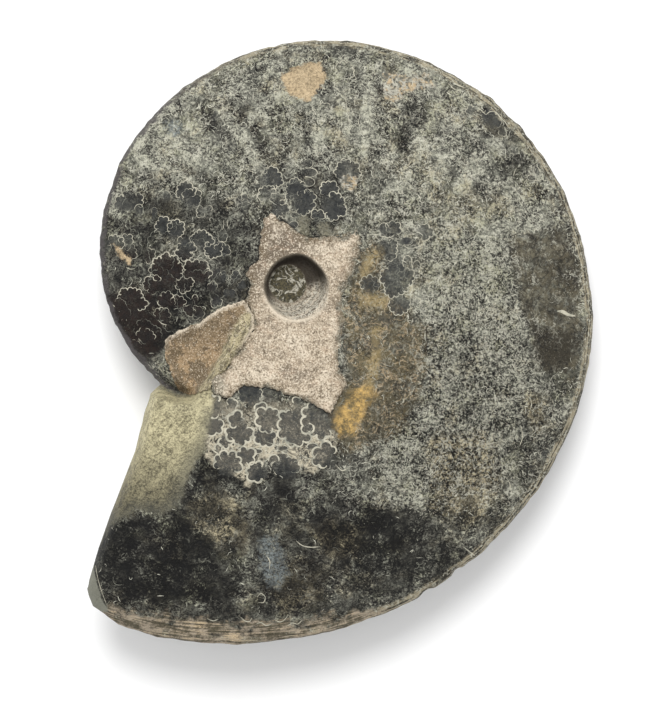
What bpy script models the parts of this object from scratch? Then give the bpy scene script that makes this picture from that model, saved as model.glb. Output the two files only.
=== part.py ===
"""A flat-coiled ammonite turned to stone, lying on its back flank.

+X is to the right and +Y up as one looks down on the shell, and +Z points at the viewer.
The shell is one stone: its two flanks are height fields that meet at the keel.
"""

import math

import bpy
import numpy as np
from mathutils import Vector, noise
from mathutils.geometry import delaunay_2d_cdt

MM = 0.001

# Coil: the last whorl grows clockwise from the seam, where it starts to cover the one before
UMBILICUS = (-8.3 * MM, 8.6 * MM)
SEAM_ANGLE = 216.7
SEAM_RADIUS = 27.8 * MM
WHORL_EXPANSION = 2.59
WHORL_TURN = 328.8
OVAL_COS = (0.005, 0.011)
OVAL_SIN = (0.0625, -0.003)

# Whorl section: half thickness at the seam and where it stops growing, and the lens shape
HALF_THICKNESS_START = 6.8 * MM
HALF_THICKNESS_END = 11.2 * MM
THICKENING_TURN = 300.0
NAVEL_HALF_THICKNESS = 9.2 * MM
NAVEL_EVEN_REACH = (5.0 * MM, 17.0 * MM)
UMBILICAL_RADIUS = 5.6 * MM
SHOULDER_SHARE = 0.3
SHOULDER_FALL = 0.06
LENS_POWER = 1.55
KEEL_HALF_WIDTH = 0.9 * MM
KEEL_HEIGHT = 0.9 * MM

# How it lies: the middle plane leans, so that the thicker side and the thinner both reach down,
# and the small flat spot that bears the weight is under the centre of mass
MIDDLE_HEIGHT = 11.4 * MM
LEAN_SLOPE = 0.08
LEAN_ANGLE = 250.0
REST_CENTRE = (-2.5 * MM, -1.0 * MM)
REST_SIZE = (16.0 * MM, 12.0 * MM)
REST_BLEND = 1.6

# Ribs, bent like a sickle, and the unevenness of the stone
RIBS_PER_TURN = 41
RIB_HEIGHT = 0.22 * MM
RIB_SWING = 3.8
RIB_TURNS = (10.0, 70.0, 160.0, 230.0)
WORN_RIB_SHARE = 0.35
LUMP_HEIGHT = 0.3 * MM
LUMP_SIZE = 13.0 * MM

# Broken mouth of the last whorl, from the seam round to the keel
MOUTH = [(-30.0, -7.6), (-31.3, -8.9), (-32.3, -12.1), (-33.9, -18.4), (-35.8, -23.4), (-37.9, -28.7),
         (-39.8, -34.2), (-41.9, -41.4), (-40.8, -44.0), (-36.6, -47.0), (-31.4, -48.5)]
MOUTH_ROUNDING = 2.3 * MM

# Step up from the whorl before to the last one, from the seam in to the umbilicus
STEP = [(-30.0, -7.6), (-28.3, -8.4), (-26.5, -9.2), (-24.6, -9.2), (-22.1, -6.6), (-20.3, -3.6),
        (-18.5, -0.2), (-16.6, 3.2), (-15.0, 5.4), (-13.0, 7.1), (-8.3, 8.6)]
STEP_RISE = (-0.8 * MM, 1.7 * MM)
STEP_RAMP = 7.0 * MM
STEP_RAMP_SHARE = 0.38
STEP_SPREAD = 60.0

# Crust of sandstone round the umbilicus, and its tongue on the whorl before
CRUST = [(-11.3, 20.9), (-12.5, 19.7), (-13.0, 16.6), (-13.3, 13.1), (-15.6, 10.7), (-14.6, 8.9),
         (-15.6, 6.4), (-14.0, 4.2), (-14.0, 1.6), (-16.6, -2.1), (-18.6, -5.1), (-21.0, -6.4),
         (-20.5, -8.9), (-18.3, -9.7), (-15.6, -7.6), (-11.1, -8.1), (-6.7, -9.4), (-1.5, -12.1),
         (-0.3, -9.4), (1.2, -7.6), (-0.2, -4.4), (-0.2, -1.7), (0.7, 3.2), (0.3, 7.2), (2.5, 11.6),
         (3.5, 15.7), (2.8, 18.1), (-0.5, 16.9), (-4.7, 16.6), (-8.0, 18.2)]
CRUST_HEIGHT = 0.55 * MM
TONGUE = [(-15.6, 6.4), (-19.1, 5.4), (-23.3, 2.7), (-26.5, 1.4), (-29.0, -0.2), (-28.8, -3.1),
          (-27.5, -6.4), (-26.5, -8.7), (-24.6, -9.1), (-22.1, -6.6), (-20.3, -3.6), (-18.5, -0.2),
          (-16.6, 3.2), (-15.0, 5.4)]
TONGUE_HEIGHT = 0.8 * MM
CRUST_EDGE = 0.35 * MM
TONGUE_EDGE = 1.2 * MM

# Hollow of the umbilicus, with the earliest whorls at the bottom
BOWL_CENTRE = (-7.2 * MM, 8.5 * MM)
BOWL_RADIUS = 5.6 * MM
BOWL_DEPTH = 2.1 * MM
DISC_CENTRE = (-8.7 * MM, 9.1 * MM)
DISC_RADIUS = 3.1 * MM
DISC_STEP = 0.55 * MM
DISC_DOME = 0.5 * MM
BACK_BOWL_RADIUS = 5.2 * MM
BACK_BOWL_DEPTH = 2.2 * MM

# Spacing of the mesh points
RIM_STEP = 1.9 * MM
FRONT_ROWS = (0.22 * MM, 0.8 * MM, 1.9 * MM)
BACK_ROWS = (0.3 * MM, 1.4 * MM)
FRONT_SPACING = 1.95 * MM
MIDDLE_SPACING = 1.15 * MM
MIDDLE_REACH = 19.0 * MM
BOWL_SPACING = 0.62 * MM
BOWL_REACH = 6.4 * MM
BACK_SPACING = 2.5 * MM
RING_POINTS = 24

STONE_COLOUR = (0.085, 0.088, 0.075, 1.0)
STONE_ROUGHNESS = 0.7


def clear_scene():
    """Remove every object that is in the scene."""
    for thing in list(bpy.data.objects):
        bpy.data.objects.remove(thing, do_unlink=True)


def smooth(low, high, value):
    """Rise smoothly from 0 at low to 1 at high."""
    share = np.clip((value - low) / (high - low), 0.0, 1.0)
    return share * share * (3.0 - 2.0 * share)


def metres(points):
    """Turn a list of points in millimetres into an array in metres."""
    return np.array(points) * MM


def line_distance(points, line):
    """Distance from each point to a line, less than 0 to the left of it as it is drawn."""
    nearest = np.full(len(points), np.inf)
    side = np.ones(len(points))
    for start, end in zip(line[:-1], line[1:]):
        along = end - start
        share = np.clip((points - start) @ along / (along @ along), 0.0, 1.0)
        gap = points - start - share[:, None] * along
        distance = np.hypot(gap[:, 0], gap[:, 1])
        offset = points - start
        cross = along[0] * offset[:, 1] - along[1] * offset[:, 0]
        closer = distance < nearest
        nearest = np.where(closer, distance, nearest)
        side = np.where(closer, np.where(cross > 0.0, -1.0, 1.0), side)
    return nearest * side


def inside_distance(points, loop):
    """Distance from each point to a closed loop, more than 0 inside it."""
    closed = np.vstack([loop, loop[:1]])
    distance = np.abs(line_distance(points, closed))
    inside = np.zeros(len(points), dtype=bool)
    for start, end in zip(closed[:-1], closed[1:]):
        spans = (start[1] > points[:, 1]) != (end[1] > points[:, 1])
        rise = end[1] - start[1]
        if rise == 0.0:
            continue
        crossing = start[0] + (points[:, 1] - start[1]) * (end[0] - start[0]) / rise
        inside ^= spans & (points[:, 0] < crossing)
    return np.where(inside, distance, -distance)


def venter_radius(turn):
    """Radius of the keel after that many degrees of the last whorl."""
    angle = np.radians(SEAM_ANGLE - turn)
    oval = OVAL_COS[0] * np.cos(angle) + OVAL_SIN[0] * np.sin(angle)
    oval += OVAL_COS[1] * np.cos(2.0 * angle) + OVAL_SIN[1] * np.sin(2.0 * angle)
    return SEAM_RADIUS * WHORL_EXPANSION ** (turn / 360.0) * np.exp(oval)


def polar(points, centre):
    """Radius and angle in degrees of each point about a centre."""
    offset = points - np.array(centre)
    return np.hypot(offset[:, 0], offset[:, 1]), np.degrees(np.arctan2(offset[:, 1], offset[:, 0]))


def lumps(points, size):
    """Soft unevenness between about -1 and 1."""
    return np.array([noise.noise(Vector((x / size, y / size, 0.0))) for x, y in points]) * 1.6


def whorl_height(radius, turn, even):
    """Half thickness of a whorl at that radius, with its lens section, ribs and keel."""
    growth = np.minimum(turn, THICKENING_TURN) / THICKENING_TURN
    half = HALF_THICKNESS_START * (HALF_THICKNESS_END / HALF_THICKNESS_START) ** growth
    share_even = (1.0 - smooth(NAVEL_EVEN_REACH[0], NAVEL_EVEN_REACH[1], radius)) * even
    half = half + (NAVEL_HALF_THICKNESS - half) * share_even
    venter = venter_radius(turn)
    share = np.clip((radius - UMBILICAL_RADIUS) / (venter - UMBILICAL_RADIUS), 0.0, 1.0)
    outer = np.clip((share - SHOULDER_SHARE) / (1.0 - SHOULDER_SHARE), 0.0, 1.0)
    inner = np.clip(1.0 - share / SHOULDER_SHARE, 0.0, 1.0)
    lens = half * (1.0 - outer ** LENS_POWER - SHOULDER_FALL * inner ** 2)
    swing = RIB_SWING * np.cos(math.pi * (share - 0.45) / 0.45)
    rib = np.sin(np.radians((turn - swing) * RIBS_PER_TURN))
    sharp = smooth(RIB_TURNS[0], RIB_TURNS[1], turn) * (1.0 - smooth(RIB_TURNS[2], RIB_TURNS[3], turn))
    rib_window = smooth(0.25, 0.55, share) * (1.0 - smooth(0.88, 0.98, share))
    rib_window = rib_window * (WORN_RIB_SHARE + (1.0 - WORN_RIB_SHARE) * sharp)
    edge = np.clip((venter - radius) / KEEL_HEIGHT, 0.0, 1.0)
    keel = KEEL_HALF_WIDTH * np.sqrt(1.0 - (1.0 - edge) ** 2)
    return lens + rib * RIB_HEIGHT * rib_window + keel, venter - radius


def flank_height(points, even):
    """Half thickness of the whole coil, stepped at the seam and rounded at the broken mouth."""
    radius, angle = polar(points, UMBILICUS)
    turn = np.mod(SEAM_ANGLE - angle, 360.0)
    before = np.where(turn > 360.0 - STEP_SPREAD, turn - 360.0, turn)
    after = np.where(turn < STEP_SPREAD, turn + 360.0, turn)
    old, old_edge = whorl_height(radius, before, even)
    new, new_edge = whorl_height(radius, after, even)
    past_step = line_distance(points, metres(STEP))
    ramp = smooth(-STEP_RAMP, 0.0, past_step) * smooth(0.0, 3.0 * MM, old_edge)
    rise = smooth(STEP_RISE[0], STEP_RISE[1], past_step)
    blend = STEP_RAMP_SHARE * np.maximum(ramp, rise) + (1.0 - STEP_RAMP_SHARE) * rise
    height = np.maximum(old, 0.0) * (1.0 - blend) + new * blend
    to_mouth = np.abs(line_distance(points, metres(MOUTH)))
    rounding = np.sqrt(1.0 - (1.0 - np.clip(to_mouth / MOUTH_ROUNDING, 0.0, 1.0)) ** 2)
    height = height * np.where(past_step > 0.0, rounding, 1.0)
    return height, radius


def bowl_depth(points):
    """Depth of the umbilicus below its rim, steep where the wall is narrow."""
    radius, _ = polar(points, BOWL_CENTRE)
    disc, _ = polar(points, DISC_CENTRE)
    from_rim = np.maximum(BOWL_RADIUS - radius, 0.0)
    from_disc = np.maximum(disc - DISC_RADIUS, 0.0)
    wall = from_rim / (from_rim + from_disc + 0.01 * MM)
    depth = BOWL_DEPTH * smooth(0.0, 1.0, wall) * smooth(0.0, 0.3 * MM, from_rim)
    in_disc = smooth(-0.2 * MM, 0.3 * MM, DISC_RADIUS - disc)
    dome = DISC_DOME * np.clip(1.0 - (disc / DISC_RADIUS) ** 2, 0.0, 1.0)
    return depth + in_disc * (DISC_STEP - dome)


def front_height(points):
    """Half thickness of the flank that faces up."""
    height, _ = flank_height(points, 1.0)
    crust = smooth(-CRUST_EDGE, CRUST_EDGE, inside_distance(points, metres(CRUST)))
    tongue = smooth(0.0, TONGUE_EDGE, inside_distance(points, metres(TONGUE)))
    height = height + crust * CRUST_HEIGHT + tongue * TONGUE_HEIGHT
    height = height + LUMP_HEIGHT * lumps(points, LUMP_SIZE) * smooth(0.0, 4.0 * MM, height)
    return height - bowl_depth(points)


def back_height(points):
    """Half thickness of the flank that the shell lies on."""
    height, radius = flank_height(points, 0.0)
    height = height + LUMP_HEIGHT * lumps(-points, LUMP_SIZE) * smooth(0.0, 4.0 * MM, height)
    return height - BACK_BOWL_DEPTH * (1.0 - smooth(0.6 * BACK_BOWL_RADIUS, BACK_BOWL_RADIUS, radius))


def back_surface(points):
    """Height of the underside, level with the ground over the spot that the shell rests on."""
    free = middle_height(points) - back_height(points)
    offset = (points - np.array(REST_CENTRE)) / (0.5 * np.array(REST_SIZE))
    beyond = smooth(1.0, REST_BLEND, np.hypot(offset[:, 0], offset[:, 1]))
    return np.maximum(free, 0.0) * beyond


def middle_height(points):
    """Height of the coil's leaning middle plane."""
    lean = math.radians(LEAN_ANGLE)
    towards = (points - np.array(UMBILICUS)) @ np.array([math.cos(lean), math.sin(lean)])
    return MIDDLE_HEIGHT + LEAN_SLOPE * towards


def divide(line, step):
    """Points along a line of straight runs, about one step apart, without its last point."""
    result = []
    for start, end in zip(line[:-1], line[1:]):
        count = max(1, round(math.dist(start, end) / step))
        result += [start + (end - start) * i / count for i in range(count)]
    return np.array(result)


def rim_loop():
    """Outline of the shell: the keel clockwise from the seam, then the broken mouth."""
    turns = [0.0]
    while turns[-1] < WHORL_TURN - 2.0:
        turns.append(turns[-1] + math.degrees(RIM_STEP / venter_radius(turns[-1])))
    turns = np.array(turns[:-1])
    angle = np.radians(SEAM_ANGLE - turns)
    keel = np.column_stack([np.cos(angle), np.sin(angle)]) * venter_radius(turns)[:, None]
    mouth = divide(metres(MOUTH[::-1]), RIM_STEP)
    return np.vstack([keel + np.array(UMBILICUS), mouth])


def row_inside(loop, depth):
    """Points one row in from the outline, left out where the outline bends sharply."""
    along = np.roll(loop, -1, axis=0) - np.roll(loop, 1, axis=0)
    along /= np.hypot(along[:, 0], along[:, 1])[:, None]
    row = loop + depth * np.column_stack([along[:, 1], -along[:, 0]])
    return row[inside_distance(row, loop) > 0.8 * depth]


def row_beside(line, offset, step):
    """Points beside a line, at that offset to its right."""
    points = divide(line, step)
    along = np.gradient(points, axis=0)
    along /= np.hypot(along[:, 0], along[:, 1])[:, None]
    return points + offset * np.column_stack([along[:, 1], -along[:, 0]])


def hexagonal(spacing, low, high):
    """Points of a triangular grid over a rectangle."""
    rows = int((high[1] - low[1]) / (spacing * math.sqrt(0.75))) + 1
    columns = int((high[0] - low[0]) / spacing) + 1
    x, y = np.meshgrid(np.arange(columns, dtype=float), np.arange(rows, dtype=float))
    x = x + 0.5 * np.mod(y, 2.0)
    grid = np.column_stack([x.ravel() * spacing, y.ravel() * spacing * math.sqrt(0.75)])
    return grid + np.array(low)


def clear_of(points, others, gap):
    """The points that are at least one gap away from all the others."""
    square = ((points[:, None, :] - others[None, :, :]) ** 2).sum(axis=2)
    return points[square.min(axis=1) > gap * gap]


def ring(centre, size, count):
    """Points round an ellipse."""
    turn = np.linspace(0.0, 2.0 * math.pi, count, endpoint=False)
    return np.array(centre) + 0.5 * np.array(size) * np.column_stack([np.cos(turn), np.sin(turn)])


def front_points(loop):
    """Points inside the outline of the front flank, close together where it has most shape."""
    rim = np.vstack([row_inside(loop, depth) for depth in FRONT_ROWS])
    ledges = []
    for line in (metres(CRUST + CRUST[:1]), metres(TONGUE)):
        for side in (-0.3 * MM, 0.35 * MM):
            ledges.append(row_beside(line, side, MIDDLE_SPACING))
    ledges.append(row_beside(metres(STEP[:-1]), 1.6 * MM, MIDDLE_SPACING))
    ledges = np.vstack(ledges)
    bowl_rim = ring(BOWL_CENTRE, (2.0 * BOWL_RADIUS, 2.0 * BOWL_RADIUS), 2 * RING_POINTS)
    ledges = ledges[inside_distance(ledges, loop) > FRONT_ROWS[-1]]
    fixed = np.vstack([rim, bowl_rim])
    fixed = np.vstack([fixed, thin_out(clear_of(ledges, fixed, 0.35 * MM), 0.42 * MM)])
    low = loop.min(axis=0)
    high = loop.max(axis=0)
    zones = ((BOWL_SPACING, 0.0, BOWL_REACH), (MIDDLE_SPACING, BOWL_REACH, MIDDLE_REACH),
             (FRONT_SPACING, MIDDLE_REACH, math.inf))
    for spacing, near, far in zones:
        grid = hexagonal(spacing, low, high)
        distance, _ = polar(grid, BOWL_CENTRE)
        grid = grid[(distance >= near) & (distance < far)]
        grid = grid[inside_distance(grid, loop) > FRONT_ROWS[-1] + 0.35 * spacing]
        fixed = np.vstack([fixed, clear_of(grid, fixed, 0.6 * spacing)])
    return fixed


def back_points(loop):
    """Points inside the outline of the back flank."""
    bowl_size = 2.0 * np.array([BACK_BOWL_RADIUS, BACK_BOWL_RADIUS])
    rows = [row_inside(loop, depth) for depth in BACK_ROWS]
    rows.append(ring(UMBILICUS, bowl_size, RING_POINTS))
    rows.append(ring(UMBILICUS, 0.8 * bowl_size, RING_POINTS))
    rows.append(ring(UMBILICUS, 0.6 * bowl_size, RING_POINTS))
    fixed = np.vstack(rows)
    fixed = np.vstack([fixed, clear_of(ring(REST_CENTRE, REST_SIZE, RING_POINTS), fixed, 0.6 * MM)])
    grid = hexagonal(BACK_SPACING, loop.min(axis=0), loop.max(axis=0))
    grid = grid[inside_distance(grid, loop) > BACK_ROWS[-1] + 0.35 * BACK_SPACING]
    return np.vstack([fixed, clear_of(grid, fixed, 0.6 * BACK_SPACING)])


def thin_out(points, gap):
    """Leave out each point that is closer than one gap to one kept before it."""
    kept = [points[0]]
    for point in points[1:]:
        if min(math.dist(point, other) for other in kept) > gap:
            kept.append(point)
    return np.array(kept)


def triangles(loop, inner):
    """Triangles over the outline and its inner points, as indices into both lists joined."""
    corners = [Vector(point) for point in np.vstack([loop, inner])]
    edges = [(i, (i + 1) % len(loop)) for i in range(len(loop))]
    found = delaunay_2d_cdt(corners, edges, [], 1, 1e-7)
    source = [origins[0] for origins in found[3]]
    return [[source[i] for i in face] for face in found[2]]


def facing_up(points, faces):
    """The faces, each wound so that it faces up."""
    result = []
    for a, b, c in faces:
        first = points[b] - points[a]
        second = points[c] - points[a]
        flipped = first[0] * second[1] - first[1] * second[0] < 0.0
        result.append((a, c, b) if flipped else (a, b, c))
    return result


def stone_material():
    """The dull dark stone of the whole fossil."""
    material = bpy.data.materials.new("dark stone")
    material.use_nodes = True
    shader = material.node_tree.nodes["Principled BSDF"]
    shader.inputs["Base Color"].default_value = STONE_COLOUR
    shader.inputs["Roughness"].default_value = STONE_ROUGHNESS
    shader.inputs["Metallic"].default_value = 0.0
    return material


def build_ammonite():
    """Sew the front and the back flank together at the keel and lay the shell down."""
    loop = rim_loop()
    front = front_points(loop)
    back = back_points(loop)
    front_faces = facing_up(np.vstack([loop, front]), triangles(loop, front))
    back_faces = facing_up(np.vstack([loop, back]), triangles(loop, back))
    rim_z = middle_height(loop)
    front_z = middle_height(front) + front_height(front)
    back_z = back_surface(back)
    plan = np.vstack([loop, front, back])
    vertices = np.column_stack([plan, np.concatenate([rim_z, front_z, back_z])])
    shift = len(front)
    under = [[i if i < len(loop) else i + shift for i in (a, c, b)] for a, b, c in back_faces]
    mesh = bpy.data.meshes.new("ammonite")
    mesh.from_pydata(vertices.tolist(), [], list(front_faces) + under)
    mesh.materials.append(stone_material())
    mesh.shade_smooth()
    mesh.set_sharp_from_angle(angle=math.radians(50.0))
    shell = bpy.data.objects.new("ammonite", mesh)
    bpy.context.scene.collection.objects.link(shell)
    return shell


def main():
    """Make the fossil."""
    clear_scene()
    build_ammonite()


main()
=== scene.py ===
"""Looks of a flat-coiled ammonite turned to stone, lying on its back flank.

+X is to the right and +Y up as one looks down on the shell, and +Z points at the viewer.
The stone repeats the coil of the CAD solid with finer relief. The suture lines, the sandstone
crust, the tongue beside it and the small flakes are pieces of their own, sunk into the stone.
"""

import math

import bpy
import numpy as np
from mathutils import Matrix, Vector, noise
from mathutils.geometry import delaunay_2d_cdt


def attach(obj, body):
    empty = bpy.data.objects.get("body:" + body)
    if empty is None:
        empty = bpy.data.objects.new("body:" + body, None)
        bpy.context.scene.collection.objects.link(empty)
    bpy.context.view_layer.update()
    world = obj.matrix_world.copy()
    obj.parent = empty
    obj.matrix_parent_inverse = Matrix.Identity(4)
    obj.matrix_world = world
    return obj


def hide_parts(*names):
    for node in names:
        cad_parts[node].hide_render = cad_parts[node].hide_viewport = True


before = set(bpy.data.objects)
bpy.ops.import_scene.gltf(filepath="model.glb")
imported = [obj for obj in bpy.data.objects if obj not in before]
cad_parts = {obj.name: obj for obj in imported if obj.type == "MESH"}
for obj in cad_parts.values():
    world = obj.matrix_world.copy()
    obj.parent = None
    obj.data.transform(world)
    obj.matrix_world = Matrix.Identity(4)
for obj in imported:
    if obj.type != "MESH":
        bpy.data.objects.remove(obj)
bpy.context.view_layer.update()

bl_info = {
    "name": "Ammonite Fossil",
    "version": (1, 0, 0),
    "blender": (4, 5, 0),
    "location": "View3D > Sidebar > Ammonite",
    "description": "Builds the stone ammonite, its suture lines, its sandstone crust and a stage",
    "category": "Object",
}

NODE = "ammonite"
BODY = "root"

MM = 0.001
MM_PER_METRE = 1000.0

# Coil: the last whorl grows clockwise from the seam, where it starts to cover the one before
UMBILICUS = (-8.3 * MM, 8.6 * MM)
SEAM_ANGLE = 216.7
SEAM_RADIUS = 27.8 * MM
WHORL_EXPANSION = 2.59
WHORL_TURN = 328.8
OVAL_COS = (0.005, 0.011)
OVAL_SIN = (0.0625, -0.003)

# Whorl section: half thickness at the seam and where it stops growing, and the lens shape
HALF_THICKNESS_START = 6.8 * MM
HALF_THICKNESS_END = 11.2 * MM
THICKENING_TURN = 300.0
NAVEL_HALF_THICKNESS = 9.2 * MM
NAVEL_EVEN_REACH = (5.0 * MM, 17.0 * MM)
UMBILICAL_RADIUS = 5.6 * MM
SHOULDER_SHARE = 0.3
SHOULDER_FALL = 0.06
LENS_POWER = 1.55
KEEL_HALF_WIDTH = 0.9 * MM
KEEL_HEIGHT = 0.9 * MM

# How it lies: the leaning middle plane, and the small flat spot that bears the weight
MIDDLE_HEIGHT = 11.4 * MM
LEAN_SLOPE = 0.08
LEAN_ANGLE = 250.0
REST_CENTRE = (-2.5 * MM, -1.0 * MM)
REST_SIZE = (16.0 * MM, 12.0 * MM)
REST_BLEND = 1.6

# Ribs, bent like a sickle: how far they swing, and where they rise and fall across the flank and
# along the coil. Elsewhere they are worn down to a share.
RIBS_PER_TURN = 41
RIB_SWING = 3.8
RIB_BEND = 0.45
RIB_REACH = (0.25, 0.55, 0.88, 0.98)
RIB_TURNS = (10.0, 70.0, 160.0, 230.0)
WORN_RIB_SHARE = 0.35

# Broken mouth of the last whorl, from the seam round to the keel
MOUTH = [(-30, -7.6), (-31.3, -8.9), (-32.3, -12.1), (-33.9, -18.4), (-35.8, -23.4), (-37.9, -28.7),
         (-39.8, -34.2), (-41.9, -41.4), (-40.8, -44), (-36.6, -47), (-31.4, -48.5)]
MOUTH_ROUNDING = 2.3 * MM

# Step up from the whorl before to the last one, from the seam in to the umbilicus
STEP = [(-30, -7.6), (-28.3, -8.4), (-26.5, -9.2), (-24.6, -9.2), (-22.1, -6.6), (-20.3, -3.6),
        (-18.5, -0.2), (-16.6, 3.2), (-15, 5.4), (-13, 7.1), (-8.3, 8.6)]
STEP_RISE = (-0.8 * MM, 1.7 * MM)
STEP_RAMP = 7.0 * MM
STEP_RAMP_SHARE = 0.38
STEP_SPREAD = 60.0

# Outlines of the sandstone crust round the umbilicus, and of its tongue on the whorl before
CRUST = [(-11.3, 20.9), (-12.5, 19.7), (-13, 16.6), (-13.3, 13.1), (-15.6, 10.7), (-14.6, 8.9),
         (-15.6, 6.4), (-14, 4.2), (-14, 1.6), (-16.6, -2.1), (-18.6, -5.1), (-21, -6.4),
         (-20.5, -8.9), (-18.3, -9.7), (-15.6, -7.6), (-11.1, -8.1), (-6.7, -9.4), (-1.5, -12.1),
         (-0.3, -9.4), (1.2, -7.6), (-0.2, -4.4), (-0.2, -1.7), (0.7, 3.2), (0.3, 7.2), (2.5, 11.6),
         (3.5, 15.7), (2.8, 18.1), (-0.5, 16.9), (-4.7, 16.6), (-8, 18.2)]
TONGUE = [(-15.6, 6.4), (-19.1, 5.4), (-23.3, 2.7), (-26.5, 1.4), (-29, -0.2), (-28.8, -3.1),
          (-27.5, -6.4), (-26.5, -8.7), (-24.6, -9.1), (-21.1, -8.2), (-20.6, -6.4), (-18.6, -5.1),
          (-16.6, -2.1), (-14, 1.6), (-14, 4.2), (-15, 5.4)]
STRIP = [(-14.4, 5.4), (-13.4, 4.2), (-13.7, 1.6), (-16.3, -2.1), (-18.3, -5.1), (-20.6, -6.4),
         (-21.1, -8.7), (-23.3, -8.7), (-22.1, -6.6), (-20.3, -3.6), (-18.5, -0.2), (-16.6, 3.2)]

# Hollow of the umbilicus, with the earliest whorls as a disc at its bottom
BOWL_CENTRE = (-7.2 * MM, 8.5 * MM)
BOWL_STEEP_ANGLE = 108.0
BOWL_STEEPNESS = 3.6
BOWL_WOBBLE = 0.25 * MM
BOWL_WOBBLE_SIZE = 4.5 * MM
DISC_CENTRE = (-8.7 * MM, 9.1 * MM)
DISC_STEP = 0.55 * MM
DISC_DOME = 0.5 * MM
DISC_WOBBLE = 0.2 * MM
LEDGE_STEP = 1.05 * MM
LEDGE_HEIGHT = 0.05 * MM
LIP_ANGLE = 80.0
LIP_WIDTH = 0.3 * MM
LIP_HEIGHT = 0.22 * MM
BACK_BOWL_RADIUS = 5.2 * MM
BACK_BOWL_DEPTH = 2.2 * MM

# Relief of the stone: sizes of its lumps and pits, how near the edge they fade out, how deeply
# plain stone is pitted, and the pattern and the reach of the wear along the outline
LUMP_SIZE = 13.0 * MM
LUMP_FADE = 4.0 * MM
DENT_SIZE = 4.2 * MM
WORM_SIZE = 1.5 * MM
GRAIN_SIZE = 0.62 * MM
PIT_FADE = 1.2 * MM
BASE_COARSENESS = 0.32
WEAR_RADIUS = 30.0 * MM
WEAR_REACH = 2.5 * MM

# Noise: how strong it is in one size and in several, and how those follow each other
NOISE_GAIN = 1.6
FRACTAL_GAIN = 1.3
FRACTAL_FALL = 0.9
FRACTAL_STEP = 2.1

# Edges of the crust and the tongue: height at the edge as a share, and how far in it is full. The
# crust has a step, but runs out gently at its south-east corner, and is thinner in the north.
CRUST_STEP = (0.45, 0.4 * MM)
CRUST_GENTLE = (0.12, 2.2 * MM)
TONGUE_EDGE = (0.4, 0.9 * MM)
CRUST_SOFT_X = (-2.2 * MM, -0.2 * MM)
CRUST_SOFT_Y = (-9.0 * MM, -6.0 * MM)
CRUST_THINNING = 0.7 * MM
CRUST_NORTH = (12.0 * MM, 17.0 * MM)
CRUST_NORTH_LOSS = 0.65

# How rough crust and tongue are, how much coarser the tongue's mesh is, how far the stone is sunk
# below the crust and below the bowl, and how far crust and tongue reach into the stone
CRUST_ROUGHNESS = 0.19 * MM
TONGUE_ROUGHNESS = 0.24 * MM
TONGUE_SPACING = 1.15
COVERED_SINK = 0.7 * MM
BOWL_SINK = 2.5 * MM
SLAB_SINK = 0.45 * MM

# Lightness of plain stone, the painted light on rib crests and painted shade in their grooves, and
# how far the edges of the light and dark places wander and in what pattern
BASE_LIGHTNESS = 0.55
RIB_LIGHT_AND_SHADE = 0.12
TONE_WANDER = 1.6 * MM
TONE_WANDER_SIZE = 4.0 * MM

# The plainer back flank: its lightness, how uneven that is, and how calm its stone is
BACK_LIGHTNESS = 0.42
BACK_UNEVENNESS = 0.14
BACK_CLOUD_SIZE = 14.0 * MM
BACK_CALM = 0.4

# How far the dark shade beside the crust reaches, and a distance that stands for far outside, in
# millimetres
CRUST_SHADE = 0.42
FAR_OUTSIDE = -9.0

# Streaks of the sand at the mouth and of the strip: angle in degrees, and how far they are drawn out
MUD_SLANT = 48.0
MUD_STRETCH = 3.0
STRIP_SLANT = 58.0
STRIP_STRETCH = 2.5

# Meshes: rows of points inside the outline, steps along it, how uneven the grid within is, and
# how much coarser a layer is on its hidden underside
FRONT_ROWS = (0.05 * MM, 0.16 * MM, 0.34 * MM, 0.62 * MM)
BACK_ROWS = (0.06 * MM, 0.22 * MM, 0.6 * MM)
RIM_STEP = 0.45 * MM
OUTLINE_STEP = 1.2 * MM
GRID_SEED = 11
GRID_JITTER = 0.22
HIDDEN_SPACING = 8.0
MERGE_DISTANCE = 1e-7

# Bake layout, as shares of its square: the margin, how wide the front is, and where the back
# begins and how wide it is
BAKE_MARGIN = 0.01
BAKE_FRONT = 0.67
BAKE_BACK_START = 0.7
BAKE_BACK = 0.29

# Stage: half the floor, the white surroundings, the lamp, and the camera that looks straight down
FLOOR_HALF = 1.5
SKY_STRENGTH = 0.9
LAMP_SIZE = 0.45
LAMP_ENERGY = 6.3
LAMP_PLACE = (-0.05, 0.43, 0.78)
CAMERA_PLACE = (-1.25 * MM, -1.91 * MM)
CAMERA_DISTANCE = 600.0 * MM
CAMERA_CLIP = (0.01, 10.0)
PHOTO_HEIGHT = 116.8 * MM
KEEL_PLANE = 11.4 * MM
SENSOR = 36.0

# Chips in the outline: x, y, reach and depth in millimetres, with bumps as less than 0
CHIPS = ((24.3, -33.2, 1.5, 0.45), (19.3, -38.3, 1.3, 0.35), (14.0, -41.3, 1.8, 0.4),
         (25.2, 40.6, 1.4, -0.3), (30.2, 35.4, 1.5, -0.3), (-41.5, -41.0, 1.2, 0.3))

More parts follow.
